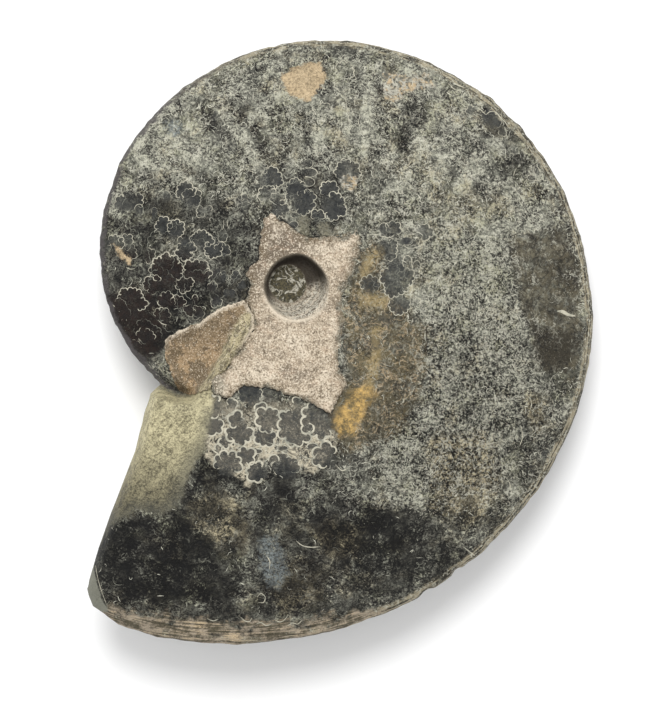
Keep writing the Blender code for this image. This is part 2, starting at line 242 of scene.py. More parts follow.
# Outlines of the places with a finish of their own, in millimetres: the greenish sand of the mouth
# (MUD), the crystals below the crust (NET_GROUND), the smooth brown shell (BROWN), the deeply
# pitted stone (COARSE), the stains, the spots and the stone along the keel
MUD = [(-30.6, -7.4), (-28.3, -8.6), (-26.5, -9.4), (-24.6, -9.4), (-22.8, -7.7), (-21.1, -8.2),
       (-20.6, -10.1), (-21, -12.6), (-21.3, -15.4), (-22.3, -17.9), (-23.8, -20.1), (-25, -22.7),
       (-25.6, -25.7), (-27.3, -27.5), (-29.1, -28.7), (-31.3, -28), (-33.3, -27.9), (-34.6, -29),
       (-36.9, -30), (-38.6, -31.7), (-40.3, -34.7), (-44.3, -33.4), (-39.9, -26.7), (-34.1, -8.4)]
BROWN_LOW = [(31.3, 1.6), (34.1, 2.2), (38.6, 1.2), (39.6, -0.9), (38.3, -3.7), (34.1, -5.4),
             (31.6, -3.7)]
TAN_BAND = [(-37.4, -44.2), (-30, -45.3), (-23.3, -45.8), (-16.6, -46.6), (-10, -46.4), (-6.7, -46.2),
            (-0.8, -45.3), (10, -44.2), (16.6, -41.7), (16.6, -56.7), (-43.3, -56.7), (-41.9, -43.3)]
CORNER = [(-40.9, -35.4), (-40.3, -38.4), (-39.1, -43.3), (-37.9, -44.8), (-43.3, -45.3), (-43.6, -36.7)]
WARM = [(-39.9, 14.1), (-31.6, 14.9), (-20.8, 12.9), (-20.8, 6.6), (-25, 2.4), (-31.6, -9.2),
        (-39.9, 1.6)]
BURNT = [(-38.5, 7), (-33.5, 9), (-30.5, 6.5), (-28.5, 2.5), (-29.5, -1.5), (-32, -4), (-37.5, 1)]
WHITISH = (
    [(7.2, 44.6), (10, 43.8), (14.6, 44.2), (16.2, 41.2), (14.4, 42), (11, 41.2), (9.7, 39.2),
     (7.5, 39.8)],
    [(0.2, 26.9), (2.5, 26.9), (3, 25.2), (1.7, 24.4), (0.2, 24.9)],
)
NET_GROUND = [(-22.6, -10.1), (-21.3, -9.1), (-17.5, -10.4), (-13, -9.7), (-6.7, -10.4), (-3.7, -11.7),
              (-0.7, -15.4), (-1.7, -18.7), (-3.9, -21.4), (-6.3, -21.6), (-9.2, -19.8), (-13, -19.4),
              (-15, -23.7), (-17.3, -21.7), (-20.8, -20.4), (-22.8, -16.7)]
STREAKS = (
    [(3.7, 10.2), (3, 11.6), (4.7, 13.6), (5.3, 14.9), (6.7, 14.9), (7, 13.6), (5.7, 12.2),
     (4.7, 10.9)],
    [(3, 7.9), (5.3, 7.6), (7.7, 6.7), (7.3, 5.2), (5, 5.6), (3, 5.9)],
    [(4.6, 1), (5.3, 1.9), (7.1, 2.4), (7.2, 1.5), (6, 1), (6.3, -2.1), (6.2, -5.7),
     (5, -9.4), (3.7, -8.4), (4.6, -5.7), (5.1, -2.1)],
)
FINGERS = (
    [(-6.7, 20.6), (-5.2, 20.1), (-4.8, 18.2), (-5.3, 16.6), (-6.3, 16.9), (-6.8, 18.9)],
    [(-3, 19.4), (-2, 18.9), (-1.7, 17.2), (-2.3, 16.1), (-3.3, 16.6), (-3.7, 18.2)],
)
CRUST_GREY = [(-21.3, -5.9), (-19.6, -5.4), (-18.5, -6.7), (-19, -9.4), (-21, -9.7), (-21.6, -8.1)]
BROWN = [(27.5, 16.6), (36.6, 17.9), (40.3, 11.6), (39.4, 6.6), (40.9, 1.6), (38.6, -6.4),
         (33.3, -5.4), (31.9, 1.6), (29.6, 6.6), (28, 12.4)]
COARSE = [(13.3, 17.4), (26.6, 16.6), (30.3, 6.6), (31.9, -10.1), (26.6, -23.4), (10, -27.5),
          (5.3, -18.4), (7.5, -10.1), (15, 6.6)]
OCHRE = [(-1.2, -10.4), (1.7, -8.1), (4.3, -7.4), (5.7, -9.1), (3.7, -12.1), (1.7, -15.4),
         (0, -15.7), (-1, -13.4)]
YELLOW = [(1.7, 9.1), (5, 16.6), (7.7, 14.9), (7, 8.2), (13.3, 1.6), (13.6, -10.1), (8, -15.4),
          (1.7, -18.7), (-1, -16.7), (-1.5, -12.6), (0.8, -6.7), (0.7, 6.6)]
TAN_SPOTS = (
    [(-10, 43.5), (-8.3, 44.8), (-6, 45.8), (-3.3, 46.2), (-2.2, 43.5), (-3.7, 41.2),
     (-5, 39.5), (-7, 39.9), (-8.7, 41.2)],
    [(-37.7, 16), (-36.7, 15.6), (-34.5, 13), (-34.9, 12.3), (-36.8, 14.2)],
)
PALE_SPOTS = (
    [(-13, -32.5), (-10.8, -32.2), (-9.3, -35), (-8.7, -38.7), (-10, -40.7), (-12.5, -40)],
    [(-29, 35.9), (-27, 36.4), (-26.1, 34.9), (-27.3, 33.7), (-28.6, 34.4)],
)

# Where the dark and the light stone is: outline in millimetres, how far its edge fades, lightness
TONE_ZONES = (
    ([(-42, 20), (-30, 27), (-10, 31), (8, 30), (30, 20), (44, 22),
      (30, 50), (-10, 55), (-42, 42)], 5, 0.65),
    ([(13.3, 17.4), (26.6, 16.6), (30.3, 6.6), (31.9, -10.1), (28.6, -22.4), (10, -23.5),
      (5.3, -18.4), (7.5, -10.1), (12, 6.6)], 4, 0.6),
    ([(-24.5, -22.7), (-22.1, -16.4), (-13.3, -21.7), (-1.7, -20), (7, -27.5), (29.3, -28.4),
      (27.6, -34), (11.6, -46), (-1.7, -50.3), (-25, -52), (-45, -45), (-42, -32.7),
      (-37.9, -30.5), (-34.1, -28.9), (-29.1, -29.4), (-25.6, -26.5)], 2.5, 0.31),
    ([(-40.3, -34.7), (-37.9, -30.5), (-34.1, -28.9), (-29.1, -29.4), (-25.6, -26.5), (-24.5, -22.7),
      (-22, -19.4), (-18.1, -22.4), (-21, -30), (-16, -38), (-18, -43), (-31.6, -43),
      (-38.6, -40.9)], 2.2, 0.09),
    ([(-37.9, 23.2), (-30, 25.5), (-22.5, 24.5), (-15, 21.1), (-13, 13.7), (-15.6, 10.7),
      (-14.6, 8.2), (-15.6, 6.6), (-23.3, 2.9), (-29, -0.1), (-31.6, -2.1), (-40.3, 1.2),
      (-42.9, 7.4), (-41.9, 14.9)], 3, 0.29),
    ([(-9, 26), (-1.7, 28), (1.7, 23.2), (-0.3, 17.4), (-6.3, 17.2), (-8, 20.6)], 2, 0.3),
    ([(-3, -31), (8, -27), (13, -31), (11, -38), (1, -41), (-4, -38)], 2.5, 0.18),
    ([(-19.6, 42.8), (-16.6, 43.5), (-13, 36.9), (-10.6, 31.5), (-13, 30.5), (-15.8, 34.5),
      (-18.6, 39.2)], 1.6, 0.47),
    ([(13, 28.5), (22, 29), (28.5, 24.5), (28, 17), (14, 17)], 3, 0.74),
    (YELLOW, 1.5, 0.38),
    ([(-31, 42), (-20, 46), (-17, 41), (-26, 34)], 2.5, 0.76),
    ([(29, -8), (36, -6), (39, -10), (37, -20), (31, -26), (27.5, -18)], 2.5, 0.45),
    ([(14, -13), (27, -12), (28, -25), (13, -26)], 3, 0.5),
    ([(32, 24.5), (38.5, 23.5), (39.5, 16.5), (32.5, 16.5)], 1.5, 0.49),
    ([(-8, -36), (1, -36), (2, -43.5), (-7, -44.5)], 2, 0.33),
    ([(-20, -21.5), (-12, -22.5), (-4, -24.5), (0.5, -28), (-6, -31), (-16, -30)], 2, 0.22),
    ([(-31.6, 14.9), (-29.1, 15.7), (-25.8, 15.6), (-22.5, 14.9), (-22.1, 12.9), (-25, 13.6),
      (-28.3, 13.9), (-30.8, 12.9)], 1, 0.45),
    ([(-24.1, 39.5), (-21.6, 40.2), (-19, 34), (-15.6, 29.2), (-17.6, 28.2),
      (-22, 32.9)], 1.5, 0.5),
    ([(-12, 37.9), (-9.2, 37.9), (-6.3, 33.2), (-8.7, 31.5), (-11.3, 34.5)], 1.4, 0.48),
    ([(8.7, 38.5), (11.3, 40.2), (14, 36.2), (12, 31.5), (9.7, 33.2)], 1.4, 0.38),
    ([(16, 34.2), (19.3, 34.9), (21.6, 32.2), (18.6, 29.9), (16.3, 31.2)], 1.5, 0.42),
    ([(22.6, 37.2), (26.6, 37.5), (30.6, 32.9), (27.6, 31.5), (24, 33.5)], 1.5, 0.36),
    ([(26.6, 30.2), (30, 30.5), (31.3, 26.9), (28.6, 25.5), (26.6, 27.2)], 1.4, 0.38),
    ([(21.3, 26.9), (24.3, 27.2), (25.3, 24.2), (22.3, 23.5)], 1.4, 0.44),
    ([(12.5, 3.6), (18.3, 2.9), (26.6, -1.7), (30, -9.2), (25, -15.1), (15, -16.7),
      (12.5, -6.7)], 3, 0.51),
    ([(11.6, 16.6), (21.6, 17.4), (27.5, 12.9), (26.6, 5.7), (16.6, 4.6), (11.3, 8.2)], 3, 0.68),
    ([(-25.8, -26.7), (-20.8, -23), (-16.6, -25), (-13, -27.5), (-13, -33.4), (-17.5, -36.7),
      (-22.5, -31.7)], 1.6, 0.36),
    ([(-7.3, -24), (-4.3, -23), (-1.3, -25.4), (-2.3, -28), (-6, -28)], 1.2, 0.46),
    ([(0, -20.4), (3.3, -19.7), (4.7, -24), (2.7, -27), (0.3, -24.7)], 1.2, 0.46),
    ([(0.8, 44.5), (5.3, 45.5), (7.3, 43.5), (6.3, 39.9), (2.7, 39.2)], 2, 0.5),
    ([(-37.9, 6.9), (-33.3, 6.6), (-30.3, 12.9), (-25.8, 12.6), (-21.3, 9.6), (-16, 8.6),
      (-19, 5.9), (-25, 2.9), (-30, -2.1), (-33.3, -2.1), (-37.3, 3.6)], 1.6, 0.15),
)

# Leaves of the suture lines that stand out. Each is: x, y, the way its crown points in degrees,
# width and length in millimetres, number of scallops, how dark it is filled, how clear its line is
LEAVES_LEFT = (
    (-34.9, 22.7, 95, 4.5, 2.7, 6, 0.7, 0.7), (-33.3, 21.5, 80, 1.5, 1.8, 1, 0.7, 0.7),
    (-28.6, 23.7, 95, 1.3, 1.7, 1, 0.6, 0.5), (-25.5, 24.2, 95, 2.7, 2.3, 3, 0.75, 1),
    (-24.3, 23.2, 60, 2, 2.7, 3, 0.7, 0.8), (-30.6, 21, 95, 1, 1.7, 1, 0.7, 0.6),
    (-29, 18.7, 100, 2, 2.3, 3, 0.9, 0.8), (-27, 18.1, 60, 2, 2.7, 4, 0.85, 0.95),
    (-26.3, 16.4, 90, 0.8, 1, 1, 0.5, 0.8), (-25.5, 14.9, -90, 2, 3, 4, 1, 0.9),
    (-22.8, 16.2, 75, 3.3, 2.3, 5, 0.8, 0.8), (-20.8, 15.1, -90, 2, 3, 4, 1, 0.9),
    (-19.5, 14.7, 50, 1.7, 2, 2, 0.7, 0.7), (-37.1, 15.9, 70, 2.3, 2, 4, 0.6, 0.9),
    (-35.6, 15.9, 40, 2, 2, 3, 0.6, 0.8), (-38.6, 15.4, 110, 1.3, 2, 1, 0.4, 0.6),
    (-34.8, 14.4, 0, 1.8, 1.7, 2, 0.6, 0.6), (-28.6, 11.2, 95, 4.7, 5, 7, 1, 1),
    (-30.8, 9.1, 160, 2.3, 2.7, 4, 1, 0.7), (-23.5, 11.1, 90, 3.7, 3.3, 5, 0.9, 0.9),
    (-25.5, 9.2, -80, 2, 2.7, 4, 0.7, 0.7), (-34.8, 6.2, 90, 4.2, 4.3, 6, 1, 1),
    (-36.6, 5.9, 150, 1.3, 1.7, 2, 0.8, 0.6), (-28.6, 6.2, 90, 2.2, 2.3, 3, 0.8, 0.7),
    (-26.5, 6.1, 60, 1.7, 2, 2, 0.8, 0.6), (-25, 4.7, 50, 1.5, 1.7, 2, 0.8, 0.5),
    (-29.3, 3.9, 110, 2.3, 2, 4, 0.8, 0.6), (-23.8, 6.7, 90, 1, 1.3, 1, 0.8, 0.7),
    (-23.6, 4.6, 0, 1.3, 2, 2, 0.9, 0.5), (-32.1, 0.4, 90, 2.5, 2, 4, 0.9, 0.6),
    (-33.9, -1.1, 90, 2, 1.3, 3, 0.9, 0.4), (-21.6, 10.6, 90, 1.2, 1.3, 1, 0.8, 0.5),
    (-20.3, 10.7, 90, 1.3, 1.3, 2, 0.8, 0.5), (-19, 10.2, 60, 1.3, 1.3, 2, 0.8, 0.5),
    (-17.1, 10.2, 90, 1.3, 1.2, 2, 0.8, 0.5), (-16.1, 8.9, 60, 1.2, 1.3, 2, 0.8, 0.4),
    (-20.8, 8.7, 90, 1.3, 1.3, 2, 0.8, 0.5), (-20.3, 6.2, -90, 1.5, 1.3, 2, 0.9, 0.8),
    (-18.6, 7.7, 90, 1, 1.2, 1, 0.8, 0.5), (-17.6, 7.6, 90, 1, 1.2, 1, 0.8, 0.5),
    (-31.6, 13.9, 0, 2.7, 1.3, 3, 0.6, 0.5), (-22.8, 21, 200, 1.3, 1.3, 2, 0.3, 0.9),
    (-21.5, 21.5, 60, 1, 1, 1, 0.3, 0.8), (-15.8, 21.9, 100, 1.7, 1.7, 3, 0.4, 0.5),
    (-19.1, 16.9, -60, 1.3, 1.3, 2, 0.5, 0.8), (-30.3, 23, 180, 2, 0.8, 2, 0.2, 0.5),
)
LEAVES_TOP = (
    (-11.3, 26.5, 20, 3, 3, 5, 0.95, 0.9), (-13.1, 27.9, 60, 2.3, 1.3, 3, 0.4, 0.7),
    (-5.3, 28.9, 0, 1.5, 1.7, 1, 0.5, 1), (-5, 27.4, 0, 1.5, 2.5, 1, 0.5, 1),
    (-5.3, 25.9, -10, 1.5, 2.3, 1, 0.4, 0.9), (1.2, 27.5, 90, 3.7, 3.3, 5, 0.7, 0.9),
    (-7.3, 24.4, 125, 2.7, 2.7, 4, 0.95, 0.7), (-6, 22.5, 0, 3.3, 3, 4, 1, 0.8),
    (-1.7, 24.5, 90, 2.5, 2.2, 4, 0.9, 1), (-1, 21.9, -10, 3.7, 3.3, 4, 0.95, 1),
    (-3.5, 20.2, 90, 2, 1.7, 2, 0.8, 0.9), (-12, 23.9, 120, 2.7, 2, 5, 0.5, 0.9),
    (-10.3, 22.9, 70, 2, 2, 2, 0.6, 0.8), (-10, 21.7, -40, 2.3, 2, 3, 0.9, 0.7),
    (-7.5, 20.4, 180, 1, 1.2, 1, 0.5, 0.8), (-7.7, 18.7, 20, 1.3, 1.7, 1, 0.8, 0.7),
    (-15.3, 26.9, 80, 2, 1.7, 2, 0.3, 0.5), (-16.1, 22.7, 60, 1.7, 1.7, 3, 0.5, 0.5),
    (-14.1, 24.9, 110, 1.5, 1.5, 2, 0.3, 0.6), (-8.3, 28.2, 90, 1.7, 1.7, 2, 0.2, 0.4),
    (0.8, 44.8, 60, 3, 2.2, 5, 0.3, 0.8), (0.2, 42.2, -90, 1.7, 1.3, 2, 0.3, 0.7),
    (-2.5, 38.2, 80, 1.5, 1.5, 2, 0.3, 0.6), (-4.7, 36.9, 140, 1.3, 1.3, 2, 0.3, 0.5),
    (-20.8, 36.9, 100, 1.3, 1.3, 2, 0.4, 0.4), (-18, 31.5, 80, 1.5, 1.7, 2, 0.4, 0.4),
)
LEAVES_RIGHT = (
    (7.2, 18.1, 100, 1.7, 2, 1, 0.7, 0.8), (8.8, 18.1, 80, 1.3, 2.3, 2, 0.7, 0.9),
    (7.8, 14.7, 20, 2.8, 2.8, 4, 0.6, 0.8), (11, 16.1, 0, 1.3, 1.8, 1, 1, 0.7),
    (12.5, 16.1, 0, 1.3, 1, 1, 0.5, 0.8), (13.8, 17.6, 10, 2.2, 2, 3, 0.8, 0.9),
    (11, 12.6, 90, 1.5, 2.3, 1, 0.4, 0.9), (12.5, 11.9, 80, 1.3, 2, 1, 0.4, 0.8),
    (9.3, 10.1, -90, 4.2, 5.3, 4, 0.85, 0.9), (4.8, 8.9, 80, 2.3, 2.5, 3, 0.9, 0.7),
    (9.7, 5.7, -90, 2.7, 2.3, 3, 0.8, 0.9), (12.6, 6.1, 60, 1.2, 1.3, 1, 0.3, 0.8),
    (14, 5.7, 30, 1, 1.3, 1, 0.3, 0.8), (14, 4.4, -30, 1, 1, 1, 0.3, 0.7),
    (11.8, 3.2, -90, 1.5, 1.3, 2, 0.3, 0.6), (7.5, 3.2, 80, 2, 2, 3, 0.4, 0.4),
    (5.3, -0.9, 70, 2.3, 2, 4, 0.4, 0.4), (9.2, -1.7, 100, 2, 2, 3, 0.4, 0.4),
    (10.8, -7.6, 80, 2, 1.7, 2, 0.3, 0.4), (21.8, 38.2, 180, 1.3, 1.3, 2, 0.6, 0.8),
    (25.3, 36.7, 60, 3.3, 2.3, 4, 0.8, 0.6), (27.1, 34.7, -60, 1.3, 1.3, 2, 0.4, 0.8),
    (31.8, 26.9, 180, 1, 1.3, 1, 0.6, 1), (32.8, 28, 110, 1, 2, 1, 0.4, 0.8),
    (18.3, 34.9, 20, 1.2, 1.5, 1, 0.4, 0.7), (29.1, 31.5, -70, 1.3, 1.3, 2, 0.4, 0.6),
    (16.1, 44.5, 100, 1.5, 1.2, 2, 0.3, 0.7), (21.6, 29, 60, 1.5, 1.5, 2, 0.3, 0.4),
    (34.1, -19.2, 120, 1.5, 1.5, 2, 0.4, 0.5), (31.6, -21.7, 100, 1.3, 1.7, 2, 0.4, 0.5),
)
LEAVES_NET = (
    (-14.3, -8.9, 100, 3, 3, 4, 1, 0.4), (-11.1, -8.9, 90, 3.3, 2.2, 3, 0.6, 0.5),
    (-3.2, -13.2, 180, 4.8, 5.3, 5, 0.7, 0.9), (-7.2, -14.1, -120, 4.7, 5.3, 6, 0.7, 0.9),
    (-11.6, -13.1, 160, 3, 3.3, 5, 0.6, 0.8), (-17, -13.1, 150, 2.3, 2.3, 3, 0.7, 1),
    (-16.6, -15.2, -90, 4, 2.8, 5, 0.8, 0.9), (-12.3, -15.6, -90, 3.3, 2.3, 4, 0.8, 0.8),
    (-20.6, -13.9, -90, 2.3, 3, 4, 0.9, 0.8), (-18.6, -16.4, -80, 1.7, 1.7, 2, 0.7, 0.8),
    (-19.8, -17.6, 90, 1.2, 1.2, 1, 0.6, 0.9), (-15.6, -19.1, 60, 2.2, 2.3, 3, 0.9, 0.9),
    (-18.3, -20.4, 80, 3.7, 3, 5, 0.8, 0.8), (-13.5, -21.7, 180, 2.7, 2.7, 4, 0.9, 1),
    (-13.5, -18.2, 0, 0.8, 1.7, 1, 1, 0.6), (-9.2, -17.7, 0, 0.7, 1.5, 1, 1, 0.5),
    (-9.3, -18.9, 90, 1.7, 0.8, 1, 0.7, 0.5), (-10.8, -19.6, 80, 1.7, 1.7, 1, 0.7, 0.9),
    (-2.3, -19.2, 150, 3.3, 3, 4, 0.7, 0.8), (-8.5, -21, 90, 3.7, 2.7, 5, 0.8, 0.4),
    (-4.5, -17.4, 90, 1.8, 1, 1, 0.8, 0.5), (-20.5, -11.1, 180, 3, 2.7, 4, 0.5, 0.9),
    (-13, -11.2, 90, 2.2, 1.3, 2, 0.6, 0.8), (-17.5, -10.4, 80, 1.7, 1.3, 2, 0.6, 0.7),
    (-6.7, -10.1, 90, 2.3, 1.2, 2, 0.6, 0.6),
)

# How the crown of a leaf is drawn: half its turn in degrees, how much smaller it is before it is
# frilled, how far the frills bulge, and the length of their teeth in millimetres. Below the crust
# the teeth are longer and the lines wider.
LEAF_OPENING = 128.0
LEAF_SHRINK = 0.86
LEAF_BULGE = 0.55
LEAF_TEETH = 0.85
LEAF_NET_TEETH = 1.5
NET_LINE_WIDENING = 2.5

# Loose cream lines and flakes: width, and the points along the middle, in millimetres
STROKES = (
    (0.13, [(-40.4, -36.2), (-39.9, -38.7), (-39.2, -41.3), (-38.2, -44.2)]),
    (0.23, [(23, 38.5), (23.6, 38.2), (24.3, 37.5), (25, 38), (26, 37.9), (26.8, 37),
            (27.6, 36.2), (28, 35.4)]),
    (0.2, [(18, 42.8), (19, 41.8), (20.1, 41.4)]),
    (0.18, [(18.6, 43.3), (19.6, 42.5), (21, 42)]),
    (0.27, [(-7.2, -32.9), (-6.2, -33.7), (-4.8, -34), (-3.3, -33.9)]),
    (0.22, [(-13.6, -42.3), (-13, -41.7), (-12.3, -42.3), (-12.6, -43.2), (-13.5, -43.2)]),
    (0.72, [(35.9, 4.7), (36.9, 4.6), (37.9, 4.1), (39.1, 3.9)]),
    (0.17, [(0.8, 40.9), (1, 39.2), (1.3, 37.2), (1.7, 34.7)]),
    (0.17, [(2.5, 40.7), (2.5, 39.9), (2.3, 38.7)]),
    (0.2, [(3, 37.7), (3.3, 36.9), (3, 36), (3.3, 35)]),
    (0.22, [(4.8, 17.1), (5.5, 17.2), (6.3, 17.1)]),
    (0.23, [(6.8, 16.9), (7.5, 16.7), (8.3, 16.7), (8.8, 17.1)]),
    (0.22, [(9, 21.2), (9.5, 20.9), (10, 20.2)]),
    (0.27, [(10.3, 15.4), (11.3, 14.9), (12.6, 15.1), (13.5, 15.7)]),
    (0.2, [(32.1, 26.4), (32.6, 26.5), (33.4, 26.5)]),
    (0.2, [(29.3, 28.5), (29, 27.9), (28.8, 27.2)]),
    (0.17, [(-19.1, 19.6), (-19.1, 18.7), (-19.3, 17.9)]),
    (0.17, [(-18.5, 19.7), (-18.5, 18.9), (-18.3, 18.2)]),
    (0.27, [(20.3, -34.2), (21.3, -35), (22.6, -36)]),
    (0.2, [(29.8, -14.2), (30.1, -16.1), (29.6, -17.7)]),
    (0.2, [(31.1, -9.4), (31.6, -10.4), (31.4, -11.6)]),
    (0.18, [(16.6, 6.6), (17.6, 5.6), (17.8, 4.4)]),
    (0.2, [(27.1, -22.5), (28, -23.7), (28.1, -25)]),
    (0.18, [(-30, 3.2), (-29.3, 2.6), (-28.5, 2.4)]),
    (0.2, [(-35.3, 11.9), (-34.6, 11.6), (-33.8, 11.7)]),
    (0.23, [(-12, -35.4), (-11.5, -36.4), (-11.6, -37.7)]),
    (0.23, [(-12, -16.7), (-10, -17.2), (-8, -16.9), (-6.2, -17.6)]),
    (0.27, [(-21.3, -17.1), (-20.6, -18.1), (-19.8, -18.7), (-19.3, -19.7)]),
    (0.23, [(-6.7, -18.4), (-5.7, -19.2), (-4.5, -19.4), (-3.7, -18.6)]),
    (0.22, [(-0.8, -20.4), (0.3, -21.4), (1.3, -21)]),
    (0.22, [(-16.4, -45.6), (-15.7, -46.3), (-14.9, -46.4), (-14.5, -45.8)]),
    (0.22, [(-13.9, -46.9), (-13, -46.6), (-12.2, -47.1), (-11.2, -46.8)]),
    (0.2, [(-10.9, -46), (-10, -46.5), (-9.2, -46.2), (-8.6, -45.4)]),
    (0.22, [(-8.7, -47.2), (-7.8, -46.7), (-7, -46.9), (-6.3, -46.3)]),
    (0.2, [(-21.9, -45.9), (-20.9, -46.3), (-20, -46)]),
)
STROKE_STRENGTH = 0.95

# Dark seam that is only colour, in millimetres
SEAM = [(-35.6, -46.7), (-31.6, -47.8), (-26.6, -48.8), (-21.6, -49.3), (-16.6, -49.7), (-9.7, -49.5)]

# Low part of the last whorl, where the stone is smoother
CALM = [(-40, -35), (-34, -29.5), (-25.6, -26.5), (-20, -21), (-12, -22.5), (-3, -25),
        (4, -29), (13, -30), (14, -38), (4, -44), (-10, -47), (-36, -45)]

# Where the stone is less rough and flecked: outline, how far its edge fades, how much less
CALM_ZONES = ((CALM, 2.0, 1.0), (YELLOW, 1.5, 0.8), (BROWN_LOW, 1.5, 1.4))

# Patches of brown-tinted stone, in millimetres
EARTHY = (
    [(-25.5, -26.5), (-21, -24.5), (-16.5, -26), (-14.5, -30), (-15.5, -35), (-20, -34),
     (-24, -31)],
    [(-11.5, -36), (-6, -35), (-2.5, -37.5), (-3, -44), (-9.5, -45), (-12.5, -40.5)],
    [(-6, -30), (-1, -29), (3.5, -31), (3, -36), (-3, -35.5)],
    [(14, -16), (24, -15), (27, -24), (22, -31), (15, -29)],
    [(30.8, -9), (34, -9.5), (34.8, -14.5), (32, -16.5), (30.5, -13)],
)

# Small curled flecks strewn over the stone: length and width in millimetres, and how they curl
FLECK_SEED = 8
FLECK_TRIES = 25000
FLECK_LENGTH = (0.3, 1.3)
FLECK_WIDTH = (0.08, 0.17)
FLECK_POINTS = 6
FLECK_BEND = 1.3
FLECK_SHAKE = 0.4
FLECK_STRENGTH = 0.9

# Finishes of the upper flank, by the name of the mark that the mesh carries, with their outlines
ZONE_MARKS = {
    "brown": [BROWN], "brown_low": [BROWN_LOW], "ochre": [OCHRE], "yellow": [YELLOW], "warm": [WARM],
    "net": [NET_GROUND], "tan": TAN_SPOTS, "pale": PALE_SPOTS, "streaks": STREAKS, "fingers": FINGERS,
    "tan_band": [TAN_BAND], "earthy": EARTHY, "burnt": [BURNT], "whitish": WHITISH,
}

# Ragged edge of each finish: how far it sways, the size of its bays and how soft it is, in
# millimetres, and the number of its pattern. The last two are for the places where smooth shell
# and the fillings of the leaves calm the stone.
ZONE_EDGES = {
    "brown": (1.5, 2.4, 0.8, 21.0), "leaf": (0.06, 0.5, 0.12, 15.0),
    "earthy": (1.4, 2.2, 1.2, 77.0), "brown_low": (1.4, 1.8, 0.8, 22.0),
    "yellow": (1.7, 3.0, 1.2, 33.0), "streaks": (0.7, 1.6, 0.7, 37.0),
    "burnt": (1.2, 2.0, 1.2, 16.0), "net": (0.9, 1.6, 0.5, 47.0), "tan_band": (1.3, 2.2, 0.7, 73.0),
    "corner": (0.2, 1.2, 0.15, 75.0), "mud": (0.6, 1.7, 0.7, 81.0), "ochre": (1.0, 2.2, 0.9, 91.0),
    "tan": (0.6, 1.0, 0.3, 101.0), "whitish": (0.8, 1.1, 0.25, 103.0),
    "pale": (1.1, 1.0, 0.8, 111.0), "fingers": (0.8, 1.0, 0.5, 113.0),
    "disc": (0.08, 0.6, 0.15, 3.0), "grey": (0.6, 1.2, 0.6, 19.0), "thin": (1.1, 1.9, 0.6, 97.0),
    "strip": (0.6, 1.5, 0.5, 2.0),
}
CALM_SHELL_EDGE = (0.9, 2.6, 0.5, 21.0)
CALM_LEAF_EDGE = (0.05, 0.5, 0.1, 15.0)

# Broken edge of the crust and of the tongue: point spacing and sway in metres, and the pattern
CRUST_BREAK = (0.22 * MM, 0.38 * MM, 60.0)
TONGUE_BREAK = (0.22 * MM, 0.3 * MM, 70.0)

# Where the suture lines show: outline in millimetres, how far its edge fades, strength
LINE_ZONES = (
    ([(-38.9, 26.7), (-23.3, 27.5), (-13, 24.2), (-12, 14.9), (-15, 6.6), (-23.3, 2.9),
      (-29, -0.1), (-33.3, -0.9), (-39.9, 6.6), (-41.3, 16.6)], 3, 0.5),
    ([(-17, 30.9), (0.8, 31.7), (4.3, 23.2), (0.8, 16.6), (-6.7, 16.6), (-13, 20.7),
      (-18.6, 24.9)], 2.5, 0.5),
    ([(3.3, 20.7), (10.8, 19.6), (15.8, 16.6), (14.1, 6.6), (10, 1.6), (5.3, 1.6), (2.5, 8.2),
      (3.3, 14.9)], 2.5, 0.5),
    ([(19.1, 46.5), (26.6, 41.5), (31.6, 33.2), (38.6, 24.9), (33.3, 23.2), (27.5, 29.9),
      (21.6, 35.7), (18.3, 41.5)], 2, 0.55),
    ([(27.5, -21.7), (36.1, -19.1), (32.6, -29.4), (26.6, -32.7), (25, -26.7)], 2, 0.5),
    ([(4.7, 48.3), (16.6, 47.5), (18.3, 41.5), (10, 40.7), (4.8, 42.3)], 1.5, 0.5),
    ([(-11.6, -30), (-1.7, -30), (-0.8, -36.7), (-10, -36.7)], 2, 0.35),
)
FAINT_LINES = 0.2

# How much the lines are broken up: in long stretches and in short ones
CLEAR_BREAKS = (0.2, 0.3)
FAINT_BREAKS = (0.45, 0.25)
FLECK_BREAKS = (0.1, 0.2)

# Strength at which a line starts to show, how fast it grows from there, and where it is cut off
LINE_LIMIT = 0.3
LINE_GROWTH = 2.2
LINE_CUT = -0.35

# How far lines run in under the crust and the tongue and into the tan spots, in millimetres, and
# how far they stay from the keel
LINE_OVERLAP = 0.3
SPOT_OVERLAP = 0.2
LINE_MARGIN = 0.4 * MM

